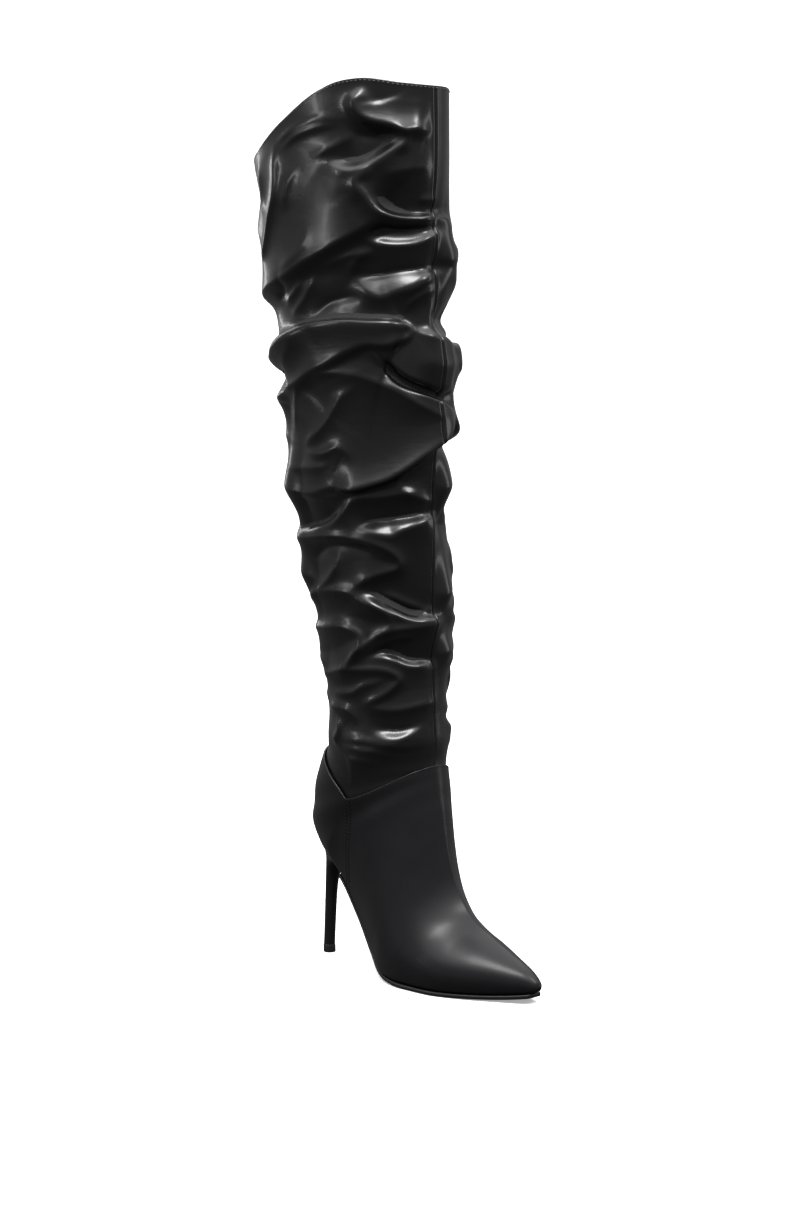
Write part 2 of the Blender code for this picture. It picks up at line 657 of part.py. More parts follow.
def make_outsole(collection, material):
    """The outsole, from the heel breast to the toe."""
    return plate_object(
        "outsole",
        HEEL_BREAST + GAP,
        TOE_REACH - SOLE_TOE_SETBACK,
        sole_half_width,
        lambda x: -GAP - sole_thickness(x),
        lambda x: -GAP,
        collection,
        material,
    )


def make_insole(collection, material):
    """The insole, on the upper's turned margin from heel to toe."""
    seat = UPPER_WALL + INSOLE_GAP
    return plate_object(
        "insole",
        under_x("heel_end") + INSOLE_HEEL_SETBACK,
        TOE_REACH - INSOLE_TOE_SETBACK,
        lambda x, side: foot_half_width(x, side, UPPER_WALL, flat_only=True) - INSOLE_GAP,
        lambda x: seat,
        lambda x: seat + INSOLE_THICKNESS,
        collection,
        material,
    )


@functools.lru_cache(maxsize=None)
def seat_outline():
    """The heel's outline under the counter, square at the breast and round at the back."""
    turn = np.arange(HEEL_SIDES) * 2 * math.pi / HEEL_SIDES
    back = under_x("heel_end") + HEEL_SEAT_BACK
    centre = (back + HEEL_BREAST) / 2
    depth = (HEEL_BREAST - back) / 2
    x = centre + depth * np.sign(np.cos(turn)) * np.abs(np.cos(turn)) ** HEEL_SEAT_SQUARE
    half = np.array([seat_half_width(at, "outer" if math.sin(t) < 0 else "inner") for at, t in zip(x, turn)])
    return np.stack([x, HEEL_SEAT_SHARE * half * np.sin(turn)], -1)


def heel_ring(share):
    """One ring of the heel: a slim stem that flares into the seat at its top."""
    turn = np.arange(HEEL_SIDES) * 2 * math.pi / HEEL_SIDES
    lift = TOP_LIFT_THICKNESS + GAP
    seat = seat_outline()
    grow = 1 + HEEL_TAPER * share**2
    stem_x = HEEL_LEAN * share + grow * HEEL_STEM_DEPTH / 2 * np.cos(turn)
    stem_y = grow * HEEL_STEM_WIDTH / 2 * np.sin(turn)
    flare = share**HEEL_FLARE
    plan = np.stack([stem_x, stem_y], -1) * (1 - flare) + seat * flare
    top = seat_height(plan) - HEEL_SEAT_GAP
    return np.column_stack([plan, lift + share * (top - lift)])


def make_heel(collection, material):
    """The covered stiletto heel, closed at its top by the seat's own curve."""
    shares = np.linspace(0, 1, HEEL_RINGS) ** HEEL_RING_CROWDING
    rings = np.array([heel_ring(share) for share in shares])
    mesh, grid = tube_mesh(rings, True)
    seat = rings[-1, :, :2]
    centre = seat.mean(axis=0)
    inner = grid[-1]
    for shrink in SEAT_RINGS:
        plan = centre + (seat - centre) * shrink
        heights = seat_height(plan) - HEEL_SEAT_GAP
        smaller = [mesh.verts.new(point) for point in np.column_stack([plan, heights])]
        for j in range(HEEL_SIDES):
            k = (j + 1) % HEEL_SIDES
            mesh.faces.new((inner[j], inner[k], smaller[k], smaller[j]))
        inner = smaller
    top = mesh.verts.new((centre[0], centre[1], seat_height([centre])[0] - HEEL_SEAT_GAP))
    for j in range(HEEL_SIDES):
        mesh.faces.new((inner[j], inner[(j + 1) % HEEL_SIDES], top))
    return finish_object("heel", mesh, collection, material)


def make_top_lift(collection, material):
    """The heel's rubber top piece, which meets the floor."""
    mesh = bmesh.new()
    made = bmesh.ops.create_cone(
        mesh,
        cap_ends=True,
        segments=HEEL_SIDES,
        radius1=HEEL_STEM_WIDTH / 2 + TOP_LIFT_LIP,
        radius2=HEEL_STEM_WIDTH / 2 + TOP_LIFT_LIP,
        depth=TOP_LIFT_THICKNESS,
    )
    stretch = HEEL_STEM_DEPTH / HEEL_STEM_WIDTH
    for vert in made["verts"]:
        vert.co.x *= stretch
        vert.co.z += TOP_LIFT_THICKNESS / 2
    return finish_object("top_lift", mesh, collection, material)


def build():
    """The whole boot."""
    clear_scene()
    boot = bpy.data.collections.new("slouch_boot")
    cutters = bpy.data.collections.new("cutters")
    for collection in (boot, cutters):
        bpy.context.scene.collection.children.link(collection)
    foot_leather = make_material("smooth_black_leather", BLACK_LEATHER, 0.42)
    shaft_leather = make_material("glossy_soft_leather", BLACK_LEATHER, 0.28)
    sole_material = make_material("black_outsole", BLACK_SOLE, 0.45)
    heel_material = make_material("heel_cover", BLACK_LEATHER, 0.35)
    rubber = make_material("top_piece_rubber", BLACK_SOLE, 0.7)
    insole_material = make_material("insole_lining", BLACK_LEATHER, 0.7)
    make_upper(boot, cutters, foot_leather)
    make_shaft(boot, shaft_leather)
    make_outsole(boot, sole_material)
    make_insole(boot, insole_material)
    make_heel(boot, heel_material)
    make_top_lift(boot, rubber)


build()
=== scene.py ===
"""The looks of a black over-the-knee slouch boot with a covered stiletto heel."""

import math

import bpy
import numpy as np
from mathutils import Matrix, Vector
from mathutils.bvhtree import BVHTree


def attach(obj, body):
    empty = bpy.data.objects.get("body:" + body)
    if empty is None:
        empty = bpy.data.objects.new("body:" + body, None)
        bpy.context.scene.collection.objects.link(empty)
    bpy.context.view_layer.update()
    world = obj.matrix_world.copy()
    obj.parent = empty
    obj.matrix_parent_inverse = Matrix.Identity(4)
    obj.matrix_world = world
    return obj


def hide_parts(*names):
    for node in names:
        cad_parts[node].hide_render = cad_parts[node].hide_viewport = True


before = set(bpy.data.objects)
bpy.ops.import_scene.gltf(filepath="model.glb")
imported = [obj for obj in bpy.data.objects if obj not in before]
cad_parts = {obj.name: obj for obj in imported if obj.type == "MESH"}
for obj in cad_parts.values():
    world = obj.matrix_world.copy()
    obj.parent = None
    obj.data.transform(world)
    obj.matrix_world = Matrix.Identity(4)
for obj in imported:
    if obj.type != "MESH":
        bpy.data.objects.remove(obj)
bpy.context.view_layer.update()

# Foot upper
# The vamp and counter are cut from smooth black leather, closed by a lapped seam
# down each side and pulled over the last, with a turned edge along the topline.
MM = 0.001
TOE_REACH = 222.5 * MM
BALL_WIDTH = 76.0 * MM
SEAT_HEIGHT = 86.5 * MM
INSTEP_HEIGHT = 165.0 * MM
SOLE_THICKNESS = 3.0 * MM
GAP = 0.35 * MM
UPPER_WALL = 1.6 * MM
TOPLINE_FRONT = 162.5 * MM
TOPLINE_SIDE = 134.5 * MM
TOPLINE_BACK = 168.0 * MM
NOTCH_DEG = 97.0
NOTCH_FRONT_CURVE = 1.5
NOTCH_BACK_CURVE = 2.2
FIRST_TOPLINE_SECTION = 11.0
TOPLINE_STEPS = 600
TINY = 1e-9

# Each row is one section of the last from the toe back to the ankle, its
# lengths as shares of the toe reach, the seat and instep heights and the ball.
LAST_COLUMNS = (
    "under_x", "under_z", "over_x", "over_z", "outer", "inner", "foot", "widest", "edge_w", "edge_h", "peak",
)
LAST_SECTIONS = {
    "toe_tip": (0.997, 0.100, 0.998, 0.076, 0.012, 0.012, 0.80, 0.50, 0.60, 0.80, 1.00),
    "toe_end": (0.984, 0.062, 0.988, 0.104, 0.066, 0.060, 0.80, 0.48, 0.40, 0.55, 1.00),
    "toe": (0.942, 0.040, 0.950, 0.145, 0.150, 0.112, 0.86, 0.42, 0.26, 0.36, 1.10),
    "toe_box": (0.863, 0.018, 0.880, 0.190, 0.282, 0.196, 0.90, 0.36, 0.16, 0.26, 1.20),
    "vamp": (0.769, 0.005, 0.794, 0.244, 0.430, 0.306, 0.92, 0.31, 0.11, 0.20, 1.40),
    "joint": (0.674, 0.000, 0.711, 0.300, 0.530, 0.390, 0.94, 0.28, 0.09, 0.17, 1.70),
    "ball": (0.575, 0.000, 0.650, 0.375, 0.556, 0.425, 0.94, 0.27, 0.08, 0.15, 1.90),
    "tread": (0.485, 0.010, 0.605, 0.480, 0.564, 0.440, 0.93, 0.29, 0.08, 0.13, 1.80),
    "waist": (0.404, 0.045, 0.577, 0.598, 0.548, 0.436, 0.85, 0.33, 0.10, 0.11, 1.50),
    "arch": (0.333, 0.205, 0.561, 0.698, 0.518, 0.430, 0.74, 0.40, 0.13, 0.09, 1.30),
    "shank": (0.252, 0.474, 0.550, 0.786, 0.494, 0.448, 0.65, 0.46, 0.18, 0.08, 1.20),
    "breast": (0.166, 0.770, 0.541, 0.841, 0.486, 0.472, 0.62, 0.52, 0.26, 0.09, 1.14),
    "seat": (0.084, 0.928, 0.535, 0.891, 0.486, 0.486, 0.62, 0.58, 0.42, 0.18, 1.10),
    "heel_end": (0.011, 1.014, 0.530, 0.930, 0.486, 0.500, 0.67, 0.60, 0.76, 0.60, 1.06),
    "counter": (-0.032, 1.210, 0.527, 0.958, 0.524, 0.518, 0.73, 0.58, 0.86, 0.87, 1.04),
    "counter_top": (-0.018, 1.403, 0.525, 0.976, 0.532, 0.528, 0.84, 0.55, 0.90, 0.97, 1.02),
    "ankle": (0.005, 1.631, 0.524, 0.991, 0.544, 0.540, 0.92, 0.53, 0.85, 1.00, 1.00),
    "throat": (0.065, 1.990, 0.522, 1.030, 0.550, 0.546, 0.98, 0.50, 0.85, 1.00, 1.00),
}
UNDER_SHARE = 2 / 16
EDGE_SHARE = 6 / 16
SIDE_SHARE = 2 / 16
CROWN_SHARE = 6 / 16


def catmull_rom(table, at):
    """Smooth values of a table's columns at fractional row numbers."""
    table = np.asarray(table, float)
    at = np.clip(np.asarray(at, float), 0.0, len(table) - 1.0)
    low = np.minimum(at.astype(int), len(table) - 2)
    t = (at - low)[..., None]
    before = table[np.maximum(low - 1, 0)]
    here = table[low]
    after = table[low + 1]
    beyond = table[np.minimum(low + 2, len(table) - 1)]
    return (
        here * (2 * t**3 - 3 * t**2 + 1)
        + (after - before) / 2 * (t**3 - 2 * t**2 + t)
        + after * (3 * t**2 - 2 * t**3)
        + (beyond - here) / 2 * (t**3 - t**2)
    )


def smooth_step(value):
    """0 below 0, 1 above 1 and a soft ramp between them."""
    value = np.clip(value, 0.0, 1.0)
    return value * value * (3 - 2 * value)


def last_row(section):
    """The last's section at a fractional row number, its columns in metres."""
    values = catmull_rom(list(LAST_SECTIONS.values()), section)
    row = {name: values[..., i] for i, name in enumerate(LAST_COLUMNS)}
    floor = SOLE_THICKNESS + GAP
    row["under_x"] = row["under_x"] * TOE_REACH
    row["under_z"] = floor + np.maximum(row["under_z"], 0.0) * (SEAT_HEIGHT - floor)
    row["over_x"] = row["over_x"] * TOE_REACH
    row["over_z"] = row["over_z"] * INSTEP_HEIGHT
    row["outer"] = row["outer"] * BALL_WIDTH
    row["inner"] = row["inner"] * BALL_WIDTH
    return row


def last_point(section, around, inset=0.0):
    """A point on the last's surface, or inset inside it.

    around runs from -1 through 0 to 1: 0 is under the foot (or at the back of
    the ankle), 1 over it on the outer side and -1 over it on the inner side.
    """
    section, around = np.broadcast_arrays(np.asarray(section, float), np.asarray(around, float))
    row = last_row(section)
    step = np.abs(around)
    flat = np.clip(step / UNDER_SHARE, 0, 1)
    corner = np.clip((step - UNDER_SHARE) / EDGE_SHARE, 0, 1) * math.pi / 2
    side = np.clip((step - UNDER_SHARE - EDGE_SHARE) / SIDE_SHARE, 0, 1)
    crown = np.clip((step - 1 + CROWN_SHARE) / CROWN_SHARE, 0, 1) * math.pi / 2
    line_x = row["over_x"] - row["under_x"]
    line_z = row["over_z"] - row["under_z"]
    height = np.hypot(line_x, line_z)
    widest = np.where(around >= 0, row["outer"], row["inner"]) - inset
    foot = widest * row["foot"]
    tall = height - 2 * inset
    low = tall * row["widest"]
    edge_w = foot * row["edge_w"]
    edge_h = low * row["edge_h"]
    up = edge_h * (1 - np.cos(corner)) + side * (low - edge_h) + (tall - low) * np.sin(crown)
    flare = (widest - foot) * np.sin(np.clip(up / np.maximum(low, TINY), 0, 1) * math.pi / 2)
    across = flat * (foot - edge_w) + edge_w * np.sin(corner) + flare
    across = across * np.maximum(np.cos(crown), 0) ** row["peak"]
    share = (up + inset) / np.maximum(height, TINY)
    x = row["under_x"] + line_x * share
    z = row["under_z"] + line_z * share
    return np.stack([x, -np.sign(around) * across, z], -1)


def angle_round(points):
    """Angle of each point round the ankle, 0 at the front and 90 on the outer side."""
    throat = last_row(len(LAST_SECTIONS) - 1.0)
    centre_x = (throat["under_x"] + throat["over_x"]) / 2
    depth = (throat["over_x"] - throat["under_x"]) / 2
    return np.degrees(np.arctan2(-points[..., 1] / throat["outer"], (points[..., 0] - centre_x) / depth))


def topline(angle):
    """Height of the upper's topline: peaks at the front and back, a notch at each side."""
    turn = np.abs((np.asarray(angle, float) + 180) % 360 - 180)
    to_front = np.clip((NOTCH_DEG - turn) / NOTCH_DEG, 0, 1)
    to_back = np.clip((turn - NOTCH_DEG) / (180 - NOTCH_DEG), 0, 1)
    front = np.sin(to_front * math.pi / 2) ** NOTCH_FRONT_CURVE
    back = 1 - (1 - to_back) ** NOTCH_BACK_CURVE
    return np.where(
        turn < NOTCH_DEG,
        TOPLINE_SIDE + (TOPLINE_FRONT - TOPLINE_SIDE) * front,
        TOPLINE_SIDE + (TOPLINE_BACK - TOPLINE_SIDE) * back,
    )


def topline_section(around):
    """Fractional row number at which the upper reaches its topline."""
    rows = np.linspace(FIRST_TOPLINE_SECTION, len(LAST_SECTIONS) - 1.0, TOPLINE_STEPS)
    found = []
    for place in np.atleast_1d(around):
        points = last_point(rows, np.full_like(rows, place))
        above = points[:, 2] - topline(angle_round(points))
        k = np.nonzero(above < 0)[0]
        k = min(k.max(), len(rows) - 2) if len(k) else 0
        t = np.clip(above[k] / (above[k] - above[k + 1]), 0, 1) if above[k] < 0 else 0.0
        found.append(rows[k] + t * (rows[k + 1] - rows[k]))
    return np.array(found)


def surface(name, rings, closed=True):
    """A smooth mesh object over a grid of points, rows of rings."""
    rows, columns = rings.shape[:2]
    index = np.arange(rows * columns).reshape(rows, columns)
    right = np.roll(index, -1, axis=1) if closed else index[:, 1:]
    left = index if closed else index[:, :-1]
    quads = np.stack([left[:-1], right[:-1], right[1:], left[1:]], -1).reshape(-1, 4)
    mesh = bpy.data.meshes.new(name)
    mesh.from_pydata(rings.reshape(-1, 3).tolist(), [], quads.tolist())
    mesh.shade_smooth()
    piece = bpy.data.objects.new(name, mesh)
    bpy.context.scene.collection.objects.link(piece)
    return piece


def linear(code):
    """The linear RGBA of an sRGB hex colour."""
    parts = [int(code[i : i + 2], 16) / 255 for i in (1, 3, 5)]
    return [c / 12.92 if c <= 0.04045 else ((c + 0.055) / 1.055) ** 2.4 for c in parts] + [1.0]


def new_material(name):
    """An empty material and its Principled shader."""
    material = bpy.data.materials.new(name)
    material.use_nodes = True
    return material, material.node_tree.nodes["Principled BSDF"]


def plug(material, node, inputs):
    """Sets a node's sockets to values, or links them to other nodes' outputs."""
    for socket, value in inputs.items():
        if isinstance(value, bpy.types.NodeSocket):
            material.node_tree.links.new(value, node.inputs[socket])
        else:
            node.inputs[socket].default_value = value
    return node


def add(material, kind, inputs=(), **settings):
    """Adds a node with its settings, its values and its links to other nodes' outputs."""
    node = material.node_tree.nodes.new(kind)
    for name, value in settings.items():
        setattr(node, name, value)
    return plug(material, node, dict(inputs))


def finish_piece(piece, material, slot, *nodes):
    """Gives the piece its material, lets it ride with the boot and hides the CAD parts that it stands in for.
    """
    piece.data.materials.clear()
    piece.data.materials.append(material)
    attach(piece, "root")
    if nodes:
        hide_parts(*nodes)
    return piece


# Smooth corrected leather, dyed black and waxed: a satin surface with a fine,
# shallow grain and a slight unevenness from the last. At each side seam the
# vamp's edge stands a step proud, and each row of stitches lies in a groove.
LEATHER_BLACK = "#1a1a1c"
LEATHER_WORN_BLACK = "#1f1f21"
GRAIN_MM = 0.55
CLOUDS_PER_METRE = 60.0
SEAM_TOP = 132.5 * MM
SEAM_TOP_X = 64.0 * MM
SEAM_SLOPE = 0.21
SEAM_ROWS_APART = 4.0 * MM
LAP_EDGE = 1.8 * MM
LAP_STEP = 0.5 * MM
GROOVE_HALF_WIDTH = 0.8 * MM

foot_leather, shader = new_material("smooth_waxed_leather")
place = add(foot_leather, "ShaderNodeTexCoord").outputs["Object"]
grain = add(
    foot_leather, "ShaderNodeTexVoronoi", {"Vector": place, "Scale": 1000 / GRAIN_MM}, feature="SMOOTH_F1"
)
cloud = add(
    foot_leather, "ShaderNodeTexNoise", {"Vector": place, "Scale": CLOUDS_PER_METRE, "Detail": 3.0}
).outputs["Fac"]
tone = add(foot_leather, "ShaderNodeMix", {"Factor": cloud}, data_type="RGBA")
tone.inputs["A"].default_value = linear(LEATHER_BLACK)
tone.inputs["B"].default_value = linear(LEATHER_WORN_BLACK)
sheen = add(foot_leather, "ShaderNodeMapRange", {"Value": cloud, "To Min": 0.27, "To Max": 0.33})
slanted = add(
    foot_leather, "ShaderNodeVectorMath", {0: place, 1: (1.0, 0.0, -SEAM_SLOPE)}, operation="DOT_PRODUCT"
).outputs["Value"]
back_row = SEAM_TOP_X - SEAM_SLOPE * SEAM_TOP - SEAM_ROWS_APART
lap = add(
    foot_leather,
    "ShaderNodeMapRange",
    {"Value": slanted, "From Min": back_row - LAP_EDGE, "From Max": back_row - LAP_EDGE + LAP_STEP},
    interpolation_type="SMOOTHSTEP",
)
from_row = slanted
for other, operation in (
    (back_row + SEAM_ROWS_APART / 2, "SUBTRACT"),
    (0.0, "ABSOLUTE"),
    (SEAM_ROWS_APART / 2, "SUBTRACT"),
    (0.0, "ABSOLUTE"),
):
    step = add(foot_leather, "ShaderNodeMath", {0: from_row, 1: other}, operation=operation)
    from_row = step.outputs["Value"]
groove = add(
    foot_leather,
    "ShaderNodeMapRange",
    {"Value": from_row, "From Max": GROOVE_HALF_WIDTH},
    interpolation_type="SMOOTHSTEP",
)
relief = {}
for height, strength, distance in (
    (lap.outputs["Result"], 1.0, 0.9 * MM),
    (groove.outputs["Result"], 1.0, 0.9 * MM),
    (grain.outputs["Distance"], 0.10, 0.1 * MM),
    (cloud, 0.10, 1.0 * MM),
):
    layer = {"Height": height, "Strength": strength, "Distance": distance}
    bump = add(foot_leather, "ShaderNodeBump", {**layer, **relief})
    relief = {"Normal": bump.outputs["Normal"]}
plug(
    foot_leather,
    shader,
    {
        "Base Color": tone.outputs["Result"],
        "Roughness": sheen.outputs["Result"],
        "IOR": 1.5,
        "Specular IOR Level": 0.22,
        **relief,
    },
)

FOOT_ROWS = 150
ANKLE_ROWS = 60
HALF_COLUMNS = 64
OUTSIDE_START = 0.12
INSIDE_START = 0.9
EDGE_STEPS = 7


def upper_rings(inset, first_section):
    """Rings of the upper's surface, from the toe to the topline."""
    half = np.linspace(0, 1, HALF_COLUMNS + 1)
    places = np.concatenate([half, -half[-2:0:-1]])
    ends = topline_section(places)
    along_foot = np.linspace(first_section, FIRST_TOPLINE_SECTION, FOOT_ROWS)
    along_ankle = np.linspace(0, 1, ANKLE_ROWS + 1)[1:, None]
    ankle = FIRST_TOPLINE_SECTION + along_ankle * (ends - FIRST_TOPLINE_SECTION)
    foot = np.repeat(along_foot[:, None], len(places), axis=1)
    return last_point(np.concatenate([foot, ankle]), places[None, :], inset)


def turned_edge(outer_ring, inner_ring, wall):
    """Rings over a wall's top edge, from its outer face half round to its inner one."""
    middle = (outer_ring + inner_ring) / 2
    across = (outer_ring - inner_ring) / 2
    rise = Vector((0, 0, 1)) * wall / 2
    turns = np.linspace(0, math.pi, EDGE_STEPS)[1:]
    return [middle + across * math.cos(turn) + rise * math.sin(turn) for turn in turns]


outside = upper_rings(0.0, OUTSIDE_START)
inside = upper_rings(UPPER_WALL, INSIDE_START)
rim = turned_edge(outside[-1], inside[-1], UPPER_WALL)[:-1]
upper_skin = surface("foot_upper", np.concatenate([outside, rim, inside[::-1]]))
finish_piece(upper_skin, foot_leather, "foot_leather", "upper")


# Side seams
# The vamp laps over the counter at each side and is sewn down with two rows of
# black thread, from the notch of the topline to the feather edge.
SEAM_FOOT = 66.0 * MM
SEAM_ROWS = {"front_row": 0.0, "back_row": -SEAM_ROWS_APART}
SEAM_STEP = 0.5 * MM
SEAM_STITCH = 2.2 * MM
STITCH_GAP = 0.7 * MM
THREAD = 0.38 * MM
STITCH_SWELL = (0.35, 0.85, 1.0, 0.85, 0.35)
STITCH_ARCH = (-0.5, 0.1, 0.35, 0.1, -0.5)

# Black bonded nylon, darker and duller than the leather that it sinks into.
thread_material, shader = new_material("bonded_nylon_thread")
plug(thread_material, shader, {"Base Color": linear("#060607"), "Roughness": 0.6})


def stitches(name, path, normals, length, gap, radius, sides=6):
    """A row of stitches along a path, each a short rounded bar bedded in the leather."""
    path = np.asarray(path, float)
    steps = np.linalg.norm(np.diff(path, axis=0), axis=1)
    run = np.concatenate([[0], np.cumsum(steps)])
    count = int(run[-1] / (length + gap))
    vertices = []
    faces = []
    for i in range(count):
        start = (i + 0.5) * (length + gap)
        at = start + np.linspace(0, length, len(STITCH_SWELL))
        centre = np.stack([np.interp(at, run, path[:, k]) for k in range(3)], -1)
        normal = np.stack([np.interp(at, run, normals[:, k]) for k in range(3)], -1)
        normal /= np.linalg.norm(normal, axis=1, keepdims=True)
        along = centre[-1] - centre[0]
        along /= np.linalg.norm(along)
        side = np.cross(along, normal)
        base = len(vertices)
        for c, n, s, swell, arch in zip(centre, normal, side, STITCH_SWELL, STITCH_ARCH):
            for k in range(sides):
                turn = 2 * math.pi * k / sides
                up = radius * (arch + swell * math.sin(turn))
                vertices.append(tuple(c + n * up + s * radius * swell * math.cos(turn)))
        for ring in range(len(STITCH_SWELL) - 1):
            for k in range(sides):
                m = (k + 1) % sides
                low = base + ring * sides
                faces.append((low + k, low + m, low + sides + m, low + sides + k))
        faces.append(tuple(base + k for k in reversed(range(sides))))
        faces.append(tuple(base + (len(STITCH_SWELL) - 1) * sides + k for k in range(sides)))
    mesh = bpy.data.meshes.new(name)
    mesh.from_pydata(vertices, [], faces)
    mesh.shade_smooth()
    piece = bpy.data.objects.new(name, mesh)
    bpy.context.scene.collection.objects.link(piece)
    return piece


upper_facets = BVHTree.FromPolygons(
    [vertex.co for vertex in upper_skin.data.vertices],
    [tuple(face.vertices) for face in upper_skin.data.polygons],
)
for side, across in {"outer": -1, "inner": 1}.items():
    for row, offset in SEAM_ROWS.items():
        heights = np.arange(SEAM_TOP, SEAM_FOOT, -SEAM_STEP)
        path = []
        normals = []
        for z in heights:
            x = SEAM_TOP_X - SEAM_SLOPE * (SEAM_TOP - z) + offset
            hit, outward = upper_facets.ray_cast((x, across * BALL_WIDTH, z), (0, -across, 0))[:2]
            if hit is None:
                break
            path.append(hit)
            normals.append(outward if outward.y * across > 0 else -outward)
        thread = stitches(f"{side}_seam_{row}", path, np.array(normals), SEAM_STITCH, STITCH_GAP, THREAD)
        finish_piece(thread, thread_material, "foot_leather")


# Shaft
# Soft coated leather, two panels seamed at centre front and centre back, far
# longer than the leg so that it drops into folds. It starts inside the topline.
SHAFT_WALL = 1.4 * MM
SHAFT_GAP = 0.8 * MM
SHAFT_HEIGHT = 662.0 * MM
COLLAR_DEPTH = 177.0 * MM
COLLAR_WIDTH = 106.0 * MM
SHAFT_TUCK = 10.0 * MM
SETTLE_HEIGHT = 24.0 * MM
TOPLINE_CLEAR_DEG = 22.0
TOPLINE_CLEAR_STEPS = 9
COLLAR_CALM = 14.0 * MM
COLLAR_FOLD_SHARE = 0.15
DEEPEST_FOLD = 15.0 * MM

SHAFT_COLUMNS = ("rise", "front", "depth", "width")
SHAFT_SECTIONS = (
    (0.00, 0.522, 0.578, 0.790),
    (0.08, 0.508, 0.550, 0.735),
    (0.20, 0.502, 0.590, 0.735),
    (0.33, 0.505, 0.680, 0.790),
    (0.50, 0.508, 0.775, 0.850),
    (0.62, 0.510, 0.850, 0.850),
    (0.74, 0.516, 0.935, 0.880),
    (0.86, 0.518, 1.015, 0.980),
    (1.00, 0.512, 0.985, 1.000),
)
COLLAR_PLACES = (
    (0.0, 1.001), (28.0, 1.004), (54.0, 1.009), (76.0, 0.998), (106.0, 0.961), (132.0, 0.930),
    (180.0, 0.911), (228.0, 0.930), (262.0, 0.966), (300.0, 0.990), (332.0, 0.998), (360.0, 1.001),
)

